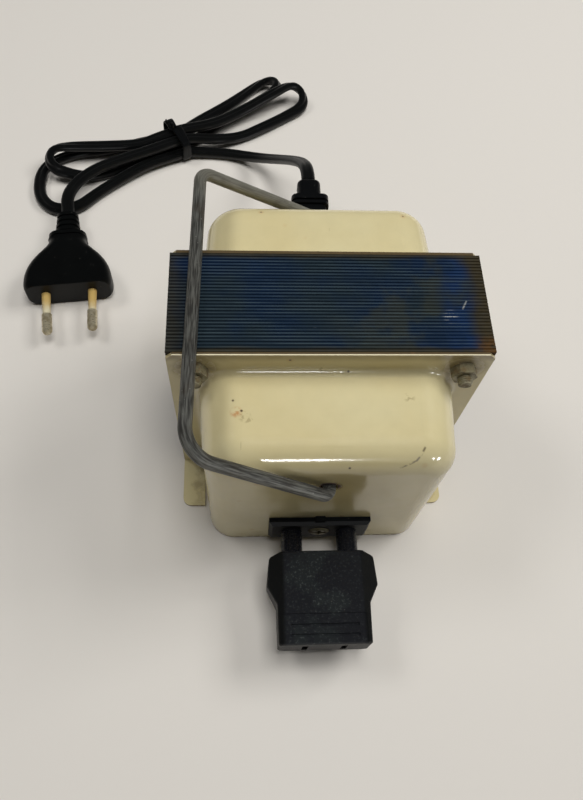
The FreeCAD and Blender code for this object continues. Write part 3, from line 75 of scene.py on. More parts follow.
# The handle: its arms rise from the pivot line to the bar, and its corners are bent
PIVOT_HEIGHT = 52.5 * MM
ARM_WAY = (-0.813, 0.582)
BAR_REACH = 50.2 * MM
BAR_SLANT = 0.02
ARM_ENDS = (51.7 * MM, 56 * MM)
ARM_SLANTS = (0.033, 0.163)
ARM_BENDS = (9 * MM, 5 * MM)

# Marks on the core's top and on the front cover as the photograph shows them, in millimetres
RUBBED_SPOT = (36, -5, 80)
NICK = ((40, -2.4, 80), (41.4, 0.2, 80))
RUST_SPOT = (-28.0, -31.8, 70.3)
FAINT_SPOTS = ((-25.7, -33.2, 70.3), (-24.4, -34.0, 70.3), (23.1, -27.3, 70.3), (-2.4, -18.6, 71.5))
DARK_SPOTS = ((-26.4, -31.4, 70.3), (-28.9, -28.0, 70.3), (5.4, -19.0, 71.2), (4.6, -47.5, 65.4))
SCUFF = (
    (26.2, -43.0, 69.6), (25.0, -44.9, 68.5), (23.8, -46.2, 67.3), (22.0, -46.8, 66.6),
    (19.4, -47.5, 65.4),
)

# Radius of each kind of mark, and the width of its soft rim
NUT_SHADE = (3.6 * MM, 5 * MM)
HOLE_RUST = (2.6 * MM, 1.8 * MM)
HOLE_SHADOW = (8 * MM, 16 * MM)
CORNER_RUST = (2 * MM, 6 * MM)
RUBBED_RIM = (0.5 * MM, 2.6 * MM)
NICK_RIM = (0.05 * MM, 0.35 * MM)
RUST_RIM = (0.5 * MM, 1.8 * MM)
FAINT_RIM = (0.6 * MM, 1.6 * MM)
DARK_RIM = (0.2 * MM, 0.35 * MM)
SCUFF_RIM = (0.1 * MM, 0.4 * MM)

# The cord's route on the floor, in millimetres, from the strain relief to the plug
LEAD_ROUTE = (
    (0, 81.0, 43.3), (0, 87.6, 43.3), (-1.3, 95.6, 39.3), (-3.7, 104, 32), (-7.1, 112.6, 23.8),
    (-11.6, 121.2, 15.4), (-17.4, 128.8, 8.2), (-24.6, 134.2, 3.8), (-33.4, 136.9, 2.6), (-42.8, 137.3, 2.6),
    (-51, 136.9, 3.3),
)
FIRST_LEFT_LOOP = (
    (-57.3, 134.0, 3.5), (-70.3, 127.8, 4.0), (-84.2, 117.2, 3.1), (-92.6, 109.8, 2.6), (-99.0, 102.0, 2.6),
    (-108.6, 100.4, 2.6), (-114.8, 105.5, 2.8), (-117.5, 113.0, 2.7), (-117.5, 122.9, 2.6),
    (-113.7, 129.3, 2.6), (-103.8, 135.2, 2.6), (-87.3, 137.7, 2.6), (-71.0, 143.6, 2.6),
)
FIRST_RIGHT_LOOP = (
    (-62.2, 145.4, 3.3), (-55.2, 148.8, 3.3), (-46.9, 157.4, 2.8), (-33.4, 166.6, 4.1), (-23.3, 178.1, 2.4),
    (-15.0, 185.4, 2.9), (-8.2, 182.2, 5.5), (-8.9, 174.2, 6.3), (-21.1, 168.8, 2.6), (-36.6, 156.4, 2.6),
    (-45.7, 146.4, 2.6), (-52.6, 143.9, 3.3),
)
SECOND_LEFT_LOOP = (
    (-59.4, 140.1, 3.3), (-66.8, 136.4, 2.6), (-79.6, 127.2, 2.6), (-93.8, 120.9, 2.6), (-102.6, 120.4, 3.9),
    (-110.8, 121.1, 6.3), (-113.7, 126.3, 8.0), (-111.2, 132.0, 8.3), (-102.9, 133.9, 8.0),
    (-88.9, 134.8, 7.8), (-73.1, 137.9, 6.1), (-65.2, 141.2, 7.4),
)
SECOND_RIGHT_LOOP = (
    (-60.8, 142.8, 8.0), (-54.1, 146.2, 8.2), (-40.1, 149.2, 8.5), (-27.1, 159.9, 6.4), (-11.3, 168.2, 10.5),
    (-1.7, 176.6, 9.1), (4.3, 174.5, 5.8), (4.5, 168.0, 2.8), (-5.4, 161.3, 2.5), (-15.9, 153.5, 3.4),
    (-26.8, 147.2, 2.6), (-39.3, 141.9, 6.4), (-51.1, 141.0, 7.9), (-59.7, 136.8, 8.2),
)
PLUG_ROUTE = (
    (-68.5, 132.5, 8.0), (-83.6, 125.1, 8.2), (-92.6, 119.9, 8.2), (-99.8, 112.6, 7.8),
    (-102.7, 103.4, 8.6), (-102.0, 97.2, 7.05), (-101.55, 93.24, 6.92),
)
ROUTE = LEAD_ROUTE + FIRST_LEFT_LOOP + FIRST_RIGHT_LOOP + SECOND_LEFT_LOOP + SECOND_RIGHT_LOOP + PLUG_ROUTE
TUBE_RADIUS = 2.4 * MM
TIE_SPOT = Vector((-56, 141.4, 5.71)) * MM
TIE_TURN = math.radians(118)

# The photograph's camera, measured on the core, the covers and both plugs
CAMERA_SPOT = Vector((-25.97, -122.84, 260.31)) * MM
CAMERA_PITCH = 1.1033
CAMERA_ROLL = -0.129
CAMERA_YAW = -0.1481


def shade(red, green, blue):
    """Linear colour of a tone given as it looks on a screen, each part from 0 to 255."""
    parts = [part / 255 for part in (red, green, blue)]
    return tuple(p / 12.92 if p <= 0.04045 else ((p + 0.055) / 1.055) ** 2.4 for p in parts)


def length_setting(name, description, default):
    return bpy.props.FloatProperty(
        name=name, description=description, default=default, subtype="DISTANCE", unit="LENGTH", precision=5
    )


def colour_setting(name, description, default):
    return bpy.props.FloatVectorProperty(
        name=name, description=description, default=default, subtype="COLOR", size=3, min=0, max=1
    )


def number_setting(name, description, default):
    return bpy.props.FloatProperty(name=name, description=description, default=default, min=0)


class TransformerColours(bpy.types.PropertyGroup):
    """Colours of the finishes."""

    enamel: colour_setting("Enamel", "Cream enamel of the covers", shade(209, 198, 156))
    lacquer: colour_setting("Lacquer", "Dark blue lacquer of the core", shade(19, 34, 54))
    rust: colour_setting("Rust", "Rust and brown stains", shade(96, 66, 36))
    zinc: colour_setting("Zinc", "Dull zinc of the nuts and bolts", shade(140, 134, 108))
    plastic: colour_setting("Plastic", "Black plastic of the outlet and the tie", shade(12, 13, 14))
    cord: colour_setting("Cord", "Black sheath of the cord", shade(9, 10, 10))
    floor: colour_setting("Floor", "Pale floor and backdrop", shade(219, 214, 206))


class TransformerCord(bpy.types.PropertyGroup):
    """Sizes of the flat twin cord and its tie."""

    width: length_setting("Width", "Width of the flat cord", 5.4 * MM)
    thickness: length_setting("Thickness", "Thickness of the flat cord", 3.4 * MM)
    length: length_setting("Length", "Length from the strain relief to the plug", 736.4 * MM)
    tie_width: length_setting("Tie width", "Width of the tie's ribbon", 2.7 * MM)
    tie_thickness: length_setting("Tie thickness", "Thickness of the tie's ribbon", 0.7 * MM)


class TransformerStage(bpy.types.PropertyGroup):
    """Floor, lights and lens."""

    lens: number_setting("Lens", "Focal length for a 36 mm long side", 32.84)
    top: number_setting("Top light", "Power of the broad light overhead", 9.2)
    key: number_setting("Key light", "Power of the light behind and to the right", 5.4)
    side: number_setting("Side light", "Power of the light behind and to the left", 2.5)
    strip: number_setting("Strip light", "Power of the thin tube in front, which only draws glints", 2.2)
    spark: number_setting("Spark lights", "Power of two small lamps in front, which only draw glints", 1.2)
    sky: number_setting("Sky", "Strength of the even light from all round", 0.04)
    backdrop: number_setting("Backdrop", "Brightness of the backdrop as the camera sees it", 0.8)
    floor_size: length_setting("Floor size", "Side of the floor", 3.0)


class Signal:
    """A shader socket that can stand in sums."""

    def __init__(self, paint, socket):
        self.paint = paint
        self.socket = socket

    def __add__(self, other):
        return self.paint.maths("ADD", self, other)

    def __radd__(self, other):
        return self.paint.maths("ADD", other, self)

    def __sub__(self, other):
        return self.paint.maths("SUBTRACT", self, other)

    def __rsub__(self, other):
        return self.paint.maths("SUBTRACT", other, self)

    def __mul__(self, other):
        return self.paint.maths("MULTIPLY", self, other)

    def __rmul__(self, other):
        return self.paint.maths("MULTIPLY", other, self)

    def __truediv__(self, other):
        return self.paint.maths("DIVIDE", self, other)

    def __rtruediv__(self, other):
        return self.paint.maths("DIVIDE", other, self)

    def __abs__(self):
        return self.paint.maths("ABSOLUTE", self)


class Paint:
    """One procedural material while its nodes are made."""

    def __init__(self, name):
        self.material = bpy.data.materials.new(name)
        self.material.use_nodes = True
        self.nodes = self.material.node_tree.nodes
        self.links = self.material.node_tree.links
        self.nodes.clear()
        self.spot = self.node("ShaderNodeTexCoord", output="Object")
        parts = self.nodes.new("ShaderNodeSeparateXYZ")
        self.links.new(self.spot.socket, parts.inputs[0])
        self.x, self.y, self.z = [Signal(self, part) for part in parts.outputs]

    def node(self, kind, inputs=(), output=0, **settings):
        """Make a node with its settings and inputs, and hand back one of its outputs."""
        made = self.nodes.new(kind)
        for name, value in settings.items():
            setattr(made, name, value)
        for name, value in dict(inputs).items():
            if isinstance(value, Signal):
                self.links.new(value.socket, made.inputs[name])
            else:
                made.inputs[name].default_value = value
        return Signal(self, made.outputs[output]) if made.outputs else None

    def maths(self, operation, *values):
        """One step of maths on one or two values."""
        return self.node("ShaderNodeMath", enumerate(values), operation=operation)

    def vector(self, x, y, z):
        """A place or a direction from three values."""
        return self.node("ShaderNodeCombineXYZ", enumerate((x, y, z)))

    def stretched(self, stretch, spot=None):
        """The spot, or another one, scaled by three factors."""
        start = self.spot if spot is None else spot
        return self.node("ShaderNodeVectorMath", {0: start, 1: stretch}, operation="MULTIPLY")

    def noise(self, grain, detail=3.0, stretch=(1, 1, 1), spot=None, rough=0.5):
        """Noise from 0 to 1 with blotches of about grain metres; a small stretch makes them long."""
        place = self.stretched([part / grain for part in stretch], spot)
        inputs = {"Vector": place, "Scale": 1.0, "Detail": detail, "Roughness": rough}
        return self.node("ShaderNodeTexNoise", inputs)

    def specks(self, grain):
        """Distance to the nearest of scattered points about grain metres apart, in grains."""
        place = self.stretched([1 / grain] * 3)
        return self.node("ShaderNodeTexVoronoi", {"Vector": place, "Scale": 1.0})

    def ramp(self, value, low, high):
        """0 up to low, 1 from high on, and smooth between; low may be above high."""
        inputs = {"Value": value, "From Min": low, "From Max": high}
        return self.node("ShaderNodeMapRange", inputs, interpolation_type="SMOOTHSTEP")

    def near(self, places, radius, soft):
        """1 within radius of any of several places, falling to 0 over soft metres."""
        masks = []
        for place in places:
            inputs = {0: self.spot, 1: place}
            away = self.node("ShaderNodeVectorMath", inputs, output="Value", operation="DISTANCE")
            masks.append(self.ramp(away, radius + soft, radius))
        return self.either(*masks)

    def mix(self, factor, first, second):
        """Colour that goes from first to second."""
        colours = [c if isinstance(c, Signal) else (*c[:3], 1.0) for c in (first, second)]
        inputs = {0: factor, 6: colours[0], 7: colours[1]}
        return self.node("ShaderNodeMix", inputs, output=2, data_type="RGBA")

    def tint(self, colour, factor):
        """Colour made darker or lighter by a factor."""
        base = colour if isinstance(colour, Signal) else tuple(colour[:3])
        grey = self.vector(factor, factor, factor)
        return self.node("ShaderNodeVectorMath", {0: base, 1: grey}, operation="MULTIPLY")

    def stroke(self, start, end, radius, soft):
        """1 along a straight stroke from start to end, falling to 0 over soft metres."""
        run = Vector(end) - Vector(start)
        away = self.node("ShaderNodeVectorMath", {0: self.spot, 1: start}, operation="SUBTRACT")
        inputs = {0: away, 1: tuple(run / run.length_squared)}
        share = self.node("ShaderNodeVectorMath", inputs, output="Value", operation="DOT_PRODUCT")
        share = self.node("ShaderNodeClamp", {"Value": share})
        nearest = self.node("ShaderNodeVectorMath", {0: tuple(run), "Scale": share}, operation="SCALE")
        inputs = {0: away, 1: nearest}
        distance = self.node("ShaderNodeVectorMath", inputs, output="Value", operation="DISTANCE")
        return self.ramp(distance, radius + soft, radius)

    def either(self, *masks):
        """The strongest of several masks."""
        best = masks[0]
        for mask in masks[1:]:
            best = self.maths("MAXIMUM", best, mask)
        return best

    def bump(self, height, depth, strength=1.0, normal=None):
        """Relief of a height from 0 to 1 that stands depth metres high."""
        inputs = {"Height": height, "Distance": depth, "Strength": strength}
        if normal is not None:
            inputs["Normal"] = normal
        return self.node("ShaderNodeBump", inputs)

    def surface(self, **sockets):
        """Close the tree with the shader; an underscore stands for a space in a socket's name."""
        inputs = {name.replace("_", " "): value for name, value in sockets.items()}
        if not isinstance(inputs["Base Color"], Signal):
            inputs["Base Color"] = (*inputs["Base Color"][:3], 1.0)
        shader = self.node("ShaderNodeBsdfPrincipled", inputs)
        self.node("ShaderNodeOutputMaterial", {"Surface": shader})
        return self.material


def finish_with(material, *nodes):
    """Give CAD nodes a finish."""
    for name in nodes:
        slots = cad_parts[name].data.materials
        slots.clear()
        slots.append(material)


def colours():
    """The colours set in the panel."""
    return bpy.context.scene.transformer_colours


def in_metres(*places):
    """Places given in millimetres, as vectors in metres."""
    return [Vector(place) * MM for place in places]


def lamination_steel():
    """Lacquered edges of the sheets: a thin painted highlight line on each packet, blue patches, brown ends.
    """
    paint = Paint("lamination_steel")

    # Rows of packets along Y, with noise that runs along each row and breaks between rows
    row = (paint.y + HALF_STACK) / (HALF_STACK * 2 / PACKETS)
    number = paint.maths("FLOOR", row)
    middle = abs(paint.maths("FRACT", row) - 0.5) * 2
    ridge = paint.ramp(middle, 0.95, 0.3)
    along = paint.vector(paint.x, number * (7 * MM), paint.z)
    streak = paint.noise(20 * MM, 4, spot=along)
    broken = paint.noise(4 * MM, 3, spot=along)
    cloud = paint.noise(22 * MM, 3)
    fine = paint.noise(1.5 * MM, 4)

    # Lacquer with blue patches, a dull front right part and a painted highlight line on each packet
    body = paint.mix(paint.ramp(cloud, 0.42, 0.62), colours().lacquer, shade(27, 38, 46))
    across = paint.x + (cloud - 0.5) * (10 * MM)
    right_end = paint.ramp(across, 31 * MM, 37 * MM) * paint.ramp(across, 47 * MM, 43 * MM)
    patch = paint.either(right_end, paint.ramp(cloud, 0.42, 0.34) * 0.5)
    patch = patch * (0.35 + paint.ramp(paint.noise(9 * MM, 3), 0.4, 0.6) * 0.6)
    body = paint.mix(patch, body, shade(20, 41, 75))
    dull = paint.noise(15 * MM, 4) - paint.y * 3.0
    dull = paint.ramp(dull, 0.5, 0.62) * paint.ramp(paint.x, -6 * MM, 18 * MM) * (1 - patch)
    body = paint.mix(dull * 0.75, body, shade(46, 49, 42))
    # Painted highlight: a light line down the middle of each packet
    line = paint.ramp(middle, 0.42, 0.05) * (0.3 + paint.ramp(streak, 0.35, 0.62) * 0.7)
    body = paint.mix(line * 0.36, body, shade(92, 108, 112))

    # Brown stains down the sides and along the covers, and rust at one corner
    left = paint.ramp(paint.x - cloud * (10 * MM), -46 * MM, -52 * MM)
    right = paint.ramp(paint.x + cloud * (12 * MM), 46 * MM, 52 * MM)
    sides = paint.ramp(abs(paint.y) + streak * (4 * MM), 17 * MM, 19 * MM)
    stain = paint.either(left * 0.75, right, sides * 0.9) * (0.7 + fine * 0.5)
    brown = paint.mix(right, shade(48, 44, 32), shade(58, 51, 35))
    body = paint.mix(stain, body, paint.tint(brown, 0.45 + broken * 0.8))
    corner = paint.near([(CORE_HIGH.x, CORE_LOW.y, CORE_HIGH.z)], *CORNER_RUST)
    corner = corner * paint.ramp(fine, 0.3, 0.6)
    body = paint.mix(corner * 0.8, body, shade(88, 60, 30))
    # The painted highlight lines show faintly over the stains
    body = paint.mix(line * stain * 0.22, body, shade(98, 98, 88))

    # Scratches, a rubbed spot and a nick that show bright metal
    scratch = paint.ramp(paint.noise(0.8 * MM, 2, stretch=(0.12, 1, 1)), 0.76, 0.82)
    scratch = scratch * paint.ramp(paint.noise(18 * MM, 2), 0.5, 0.62)
    bright_mark = paint.near(in_metres(RUBBED_SPOT), *RUBBED_RIM) * paint.ramp(middle, 0.3, 0.1)
    nick = paint.stroke(*in_metres(*NICK), *NICK_RIM)
    bare = paint.either(scratch * 0.7, bright_mark * paint.ramp(broken, 0.4, 0.55), nick * 0.5)
    body = paint.mix(bare, body, shade(176, 178, 172))
    # Painted shade: each packet a little darker towards its edges
    body = paint.tint(body, 0.92 + ridge * 0.08)
    height = ridge + broken * 0.4 + bare * 0.3
    return paint.surface(
        Base_Color=body, Roughness=0.42 + stain * 0.3 - line * 0.06,
        Specular_IOR_Level=0.2, Normal=paint.bump(height, 0.06 * MM, 0.7),
    )


def cover_enamel():
    """Glossy cream enamel with painted shade, a painted highlight and a dark seam by its edges, painted shade
    round its nuts, a painted shadow below the hole, rust spots, scuffs and an uneven skin.
    """
    paint = Paint("cover_enamel")

    # Blotches at three scales, of which the largest turns the enamel yellower
    cloud = paint.noise(35 * MM, 4)
    fine = paint.noise(5 * MM, 4)
    mottle = paint.noise(1.6 * MM, 4)
    body = paint.mix(paint.ramp(cloud, 0.35, 0.7) * 0.6, colours().enamel, shade(203, 188, 140))
    body = paint.tint(body, 0.95 + fine * 0.1)

    # The flange: a painted highlight on its top edge, painted shade on its upper band, and a dark seam
    # against the core
    out = abs(paint.y) - HALF_STACK
    brink = paint.ramp(paint.z, CORE_HIGH.z - 0.4 * MM, CORE_HIGH.z - 0.15 * MM)
    front = paint.ramp(paint.y, 1 * MM, -1 * MM)
    seam = brink * paint.either(paint.ramp(out, 0.75 * MM, 0.55 * MM), 1 - front)
    bright_mark = brink * (1 - seam)
    band = paint.ramp(paint.z, 75.5 * MM, 79 * MM) * paint.ramp(out, 2.2 * MM, 1.6 * MM) * (1 - brink)
    # Painted highlight: the flange's top edge is painted lighter
    body = paint.mix(bright_mark * 0.7, body, shade(238, 230, 204))
    # Painted shade: the upper band of the flange's face is painted darker
    body = paint.mix(band * (0.35 + fine * 0.5), body, shade(128, 112, 76))
    body = paint.mix(seam * 0.92, body, paint.tint(shade(74, 52, 26), 0.3 + mottle * 0.8))

    # Painted shade round the nuts, darker patches towards the bottom and on the feet, and a painted shadow
    # below the handle's hole
    # Painted shade: the enamel round each nut is painted darker
    nuts = paint.near([(x, y, z) for x, z in BOLT_SPOTS for y in FLANGE_FACES], *NUT_SHADE)
    nuts = nuts * paint.ramp(paint.noise(2.5 * MM, 4), 0.2, 0.65)
    foot = paint.ramp(paint.z, 9 * MM, 3 * MM) * paint.ramp(fine, 0.45, 0.7) * 0.5
    hole = paint.near([(0, y, PIVOT_HEIGHT) for y in COVER_FACES], *HOLE_RUST)
    # Painted shadow: a soft darker patch below the handle's hole on each cover's face
    hole_shadow = paint.near([(4 * MM, y, 48 * MM) for y in COVER_FACES], *HOLE_SHADOW)
    body = paint.mix(hole_shadow * 0.5, body, shade(150, 134, 84))
    # One darker mix for the painted shade round the nuts and the patches towards the bottom
    darkened = paint.either(nuts * 0.75, foot)
    body = paint.mix(darkened, body, shade(118, 98, 64))

    # Rust spots with dark middles, small chips, and scuffs at the front edge
    rust = paint.near(in_metres(RUST_SPOT), *RUST_RIM) * paint.ramp(mottle, 0.36, 0.56)
    faint = paint.near(in_metres(*FAINT_SPOTS), *FAINT_RIM) * paint.ramp(mottle, 0.5, 0.6) * 0.4
    scattered = paint.specks(14 * MM)
    specks = paint.ramp(scattered, 0.045, 0.03) * paint.ramp(cloud, 0.45, 0.52)
    specks = paint.either(specks, paint.near(in_metres(*DARK_SPOTS), *DARK_RIM))
    chips = paint.either(specks * 0.9, hole * paint.ramp(mottle, 0.42, 0.55))
    halo = paint.either(rust * 0.8, paint.ramp(scattered, 0.11, 0.04) * 0.2)
    body = paint.mix(halo, body, shade(184, 124, 70))
    foot_rim = paint.ramp(paint.z, 0.95 * MM, 0.6 * MM) * paint.ramp(mottle, 0.3, 0.6)
    body = paint.mix(faint, body, shade(122, 102, 62))
    body = paint.mix(chips, body, shade(62, 44, 30))
    body = paint.mix(foot_rim * 0.7, body, shade(104, 74, 44))
    body = paint.mix(hole * paint.ramp(mottle, 0.3, 0.5), body, shade(74, 38, 22))
    scuffs = paint.ramp(paint.noise(1.2 * MM, 3, stretch=(1, 0.15, 0.3)), 0.7, 0.78)
    scuffs = scuffs * paint.ramp(paint.noise(20 * MM, 2), 0.52, 0.6) * 0.35
    ends = in_metres(*SCUFF)
    strokes = [paint.stroke(start, end, *SCUFF_RIM) for start, end in zip(ends, ends[1:])]
    scuffs = paint.either(scuffs, paint.either(*strokes) * paint.ramp(mottle, 0.4, 0.56) * 0.85)
    body = paint.mix(scuffs, body, shade(98, 84, 56))
    skin = paint.bump(paint.noise(7 * MM, 2), 0.2 * MM, 0.22)
    grain = paint.bump(fine + (1 - chips) * 2.0, 0.05 * MM, 0.4, skin)
    rough = 0.11 + darkened * 0.5 + chips * 0.5 + scuffs * 0.3 + seam * 0.5 + cloud * 0.05
    return paint.surface(Base_Color=body, Roughness=rough, Specular_IOR_Level=0.7, Normal=grain)


def zinc_fastener():
    """Nuts, bolts and screws: dull zinc with brown rust in patches."""
    paint = Paint("zinc_fastener")
    rust = paint.ramp(paint.noise(1.8 * MM, 5), 0.4, 0.66)
    grit = paint.noise(0.35 * MM, 3)
    body = paint.mix(rust * 0.75, colours().zinc, paint.tint(shade(98, 78, 46), 0.45 + grit * 0.9))
    body = paint.tint(body, 0.7 + grit * 0.5)
    return paint.surface(
        Base_Color=body, Metallic=0.45 - rust * 0.35, Roughness=0.4 + rust * 0.3,
        Normal=paint.bump(grit + rust, 0.08 * MM, 0.7),
    )


def handle_wire():
    """Drawn steel wire gone dull: fine streaks that follow its bends, and painted light that makes the rear
    paler.
    """
    paint = Paint("handle_wire")

    # Coordinates that follow the wire: across it in the handle's plane, along it, and out of that plane
    rise = paint.z - PIVOT_HEIGHT
    reach = paint.x * ARM_WAY[0] + rise * ARM_WAY[1]
    side = paint.x * ARM_WAY[1] - rise * ARM_WAY[0]
    rear = paint.maths("GREATER_THAN", paint.y, 0.0)
    past_bar = reach - BAR_REACH + paint.y * BAR_SLANT
    ends = [abs(paint.y) - end + reach * slant for end, slant in zip(ARM_ENDS, ARM_SLANTS)]
    past_arm = ends[0] * (1 - rear) + ends[1] * rear
    bend = ARM_BENDS[0] + rear * (ARM_BENDS[1] - ARM_BENDS[0])
    offsets = [paint.maths("MAXIMUM", part + bend, 0.0) for part in (past_bar, past_arm)]
    across = paint.maths("SQRT", offsets[0] * offsets[0] + offsets[1] * offsets[1]) - bend
    drawn_out = 0.07
    on_wire = paint.vector(across, (paint.y + reach) * drawn_out, side)
    streak = paint.noise(0.42 * MM, 4, spot=on_wire)
    blotch = paint.noise(7 * MM, 4)
    body = paint.mix(paint.ramp(streak, 0.36, 0.66), shade(62, 61, 58), shade(112, 112, 106))
    # Painted light: the rear part of the wire is painted paler
    pale = paint.ramp(paint.y, 30 * MM, 54 * MM) * 0.6
    body = paint.mix(pale, body, paint.tint(shade(150, 147, 132), 0.65 + streak * 0.6))
    stain = paint.ramp(blotch, 0.52, 0.72) * 0.3
    body = paint.mix(stain, body, shade(74, 60, 44))
    nicks = paint.ramp(paint.specks(2.2 * MM), 0.1, 0.05)
    body = paint.mix(nicks * 0.45, body, shade(176, 174, 166))
    return paint.surface(
        Base_Color=body, Metallic=0.4, Roughness=0.44 + streak * 0.16 + stain * 0.4,
        Normal=paint.bump(streak - nicks * 0.4, 0.1 * MM, 0.8),
    )


def black_plastic(name, base, grain, grain_depth, gloss, shine=0.28):
    """Moulded black plastic with grain, faint dust and rubbed places."""
    paint = Paint(name)
    cloud = paint.noise(9 * MM, 4)
    pits = paint.noise(grain, 2)
    dust = paint.ramp(paint.specks(3.5 * MM), 0.07, 0.03) * 0.35
    rub = paint.ramp(paint.noise(1.5 * MM, 4, stretch=(1, 0.4, 1)), 0.62, 0.75) * paint.ramp(cloud, 0.45, 0.6)
    body = paint.tint(base, 0.75 + cloud * 0.5)
    body = paint.mix(rub * 0.25, body, shade(56, 56, 54))
    body = paint.mix(dust, body, shade(110, 108, 102))
    return paint.surface(
        Base_Color=body, Roughness=gloss + pits * 0.12 + rub * 0.15,
        Specular_IOR_Level=shine, Normal=paint.bump(pits + cloud * 0.3, grain_depth, 0.7),
    )


def adapter_plastic():
    """Grained plastic of the adapter: speckled on top, painted lighter on top and blacker on its flanks as
    painted light and shade, glossy on its collars.
    """
    paint = Paint("adapter_plastic")
    cloud = paint.noise(8 * MM, 4)
    grit = paint.noise(0.8 * MM, 4, rough=0.7)
    ribs_and_glints = paint.noise(0.9 * MM, 2, stretch=(1, 0.03, 1))
    # Painted light and shade: the top face is painted lighter and the flanks blacker
    crown = paint.ramp(abs(paint.x), ADAPTER_CROWN + 0.7 * MM, ADAPTER_CROWN - 0.7 * MM)
    top = crown * paint.ramp(paint.z, ADAPTER_TOP - 2 * MM, ADAPTER_TOP - 0.7 * MM)
    # Lighter in mottled patches towards the middle of the top
    mottle = paint.ramp(cloud - abs(paint.x + 2 * MM) * 16, 0.36, 0.5)
    collar = paint.ramp(paint.y, COLLAR_END - 0.4 * MM, COLLAR_END - 0.1 * MM)
    body = paint.mix(top, shade(14, 15, 15), paint.mix(mottle, shade(26, 27, 30), shade(32, 35, 36)))
    body = paint.tint(body, 0.7 + grit * 0.6)
    flecks = paint.ramp(grit, 0.54, 0.68) * top * (0.22 + mottle * 0.3)
    body = paint.mix(flecks, body, shade(82, 86, 84))
    # Painted highlights: lighter streaks along the collars, over the ribs' relief
    body = paint.mix(collar, body, paint.tint(shade(22, 23, 27), 0.5 + ribs_and_glints))
    dust = paint.ramp(paint.specks(4 * MM), 0.06, 0.03) * 0.3
    body = paint.mix(dust, body, shade(110, 108, 102))
    relief = grit * (1 - collar) + ribs_and_glints * collar * 0.5
    return paint.surface(
        Base_Color=body, Roughness=0.5 + grit * 0.1 - collar * 0.28,
        Specular_IOR_Level=0.3, Normal=paint.bump(relief, 0.15 * MM, 0.7),
    )


def cord_sheath():
    """Soft black sheath with a faint mottled gloss."""
    paint = Paint("cord_sheath")
    cloud = paint.noise(12 * MM, 4)
    fine = paint.noise(0.5 * MM, 3)
    dust = paint.ramp(paint.specks(5 * MM), 0.05, 0.02) * 0.3
    body = paint.tint(colours().cord, 0.7 + cloud * 0.7)
    body = paint.mix(dust, body, shade(120, 118, 112))
    return paint.surface(
        Base_Color=body, Roughness=0.32 + cloud * 0.14, Specular_IOR_Level=0.32,
        Sheen_Weight=0.05, Normal=paint.bump(fine + cloud, 0.04 * MM, 0.6),
    )


def pin_metal():
    """Nickel pins with rings of wear and dull patches."""
    paint = Paint("pin_metal")
    rings = paint.noise(0.5 * MM, 3, stretch=(0.15, 1, 0.15))
    dull = paint.ramp(paint.noise(2 * MM, 4), 0.4, 0.65)
    body = paint.mix(dull * 0.55, shade(200, 190, 162), shade(140, 124, 90))
    return paint.surface(
        Base_Color=body, Metallic=0.6, Roughness=0.24 + dull * 0.25 + rings * 0.08,
        Normal=paint.bump(rings, 0.03 * MM, 0.5),
    )


def sleeve_cream():
    """Insulating sleeve of a pin, brown where it leaves the plug."""
    paint = Paint("sleeve_cream")
    cloud = paint.noise(2.5 * MM, 4)
    root = paint.ramp(paint.y + cloud * (3 * MM), 44 * MM, 51 * MM)
    body = paint.mix(root, shade(214, 204, 172), shade(192, 160, 96))
    body = paint.tint(body, 0.92 + cloud * 0.15)
    return paint.surface(
        Base_Color=body, Roughness=0.42 + cloud * 0.1, Subsurface_Weight=0.05,
        Normal=paint.bump(cloud, 0.04 * MM, 0.5),
    )


def brass(name, base):
    """Contact metal with a dull skin."""
    paint = Paint(name)
    dull = paint.ramp(paint.noise(2.2 * MM, 4), 0.35, 0.7)
    body = paint.mix(dull * 0.6, base, paint.tint(base, 0.4))
    return paint.surface(
        Base_Color=body, Metallic=0.6, Roughness=0.28 + dull * 0.3,
        Normal=paint.bump(paint.noise(0.5 * MM, 3), 0.03 * MM, 0.5),
    )


def winding_copper():
    """Enamelled copper laid in turns up the coil, with painted shade between the turns."""
    paint = Paint("winding_copper")
    wire = 0.9 * MM
    row = paint.maths("FRACT", paint.z / wire)
    turn = paint.ramp(abs(row - 0.5), 0.5, 0.1)
    tone = paint.noise(14 * MM, 3, stretch=(1, 1, 6))
    # Painted shade: each turn darker towards its edges
    body = paint.tint(paint.mix(tone, shade(148, 66, 26), shade(184, 98, 44)), 0.35 + turn * 0.75)
    return paint.surface(
        Base_Color=body, Metallic=0.7, Roughness=0.3 + tone * 0.2, Coat_Weight=0.4,
        Normal=paint.bump(turn, 0.4 * MM, 0.9),
    )


def fibre(name, base):
    """Pressed board or paper with short fibres and stains."""
    paint = Paint(name)
    strands = paint.noise(0.8 * MM, 4, stretch=(1, 1, 0.2))
    stain = paint.noise(12 * MM, 3)
    body = paint.tint(base, 0.75 + strands * 0.3 + stain * 0.2)
    return paint.surface(
        Base_Color=body, Roughness=0.7 + strands * 0.2, Normal=paint.bump(strands, 0.06 * MM, 0.7)
    )


def lead_sleeve(name, base):
    """Plastic skin of an inside lead."""
    paint = Paint(name)
    cloud = paint.noise(4 * MM, 3)
    return paint.surface(
        Base_Color=paint.tint(base, 0.8 + cloud * 0.35), Roughness=0.4 + cloud * 0.15,
        Normal=paint.bump(paint.noise(0.6 * MM, 3), 0.03 * MM, 0.5),
    )


def floor_finish():
    """Plain pale floor with the faintest mottle."""
    paint = Paint("pale_floor")
    cloud = paint.noise(0.35, 3)
    fine = paint.noise(4 * MM, 3)
    body = paint.tint(colours().floor, 0.98 + cloud * 0.03 + fine * 0.01)
    return paint.surface(
        Base_Color=body, Roughness=0.6 + fine * 0.06, Specular_IOR_Level=0.04,
        Normal=paint.bump(paint.noise(12 * MM, 3), 0.05 * MM, 0.2),
    )


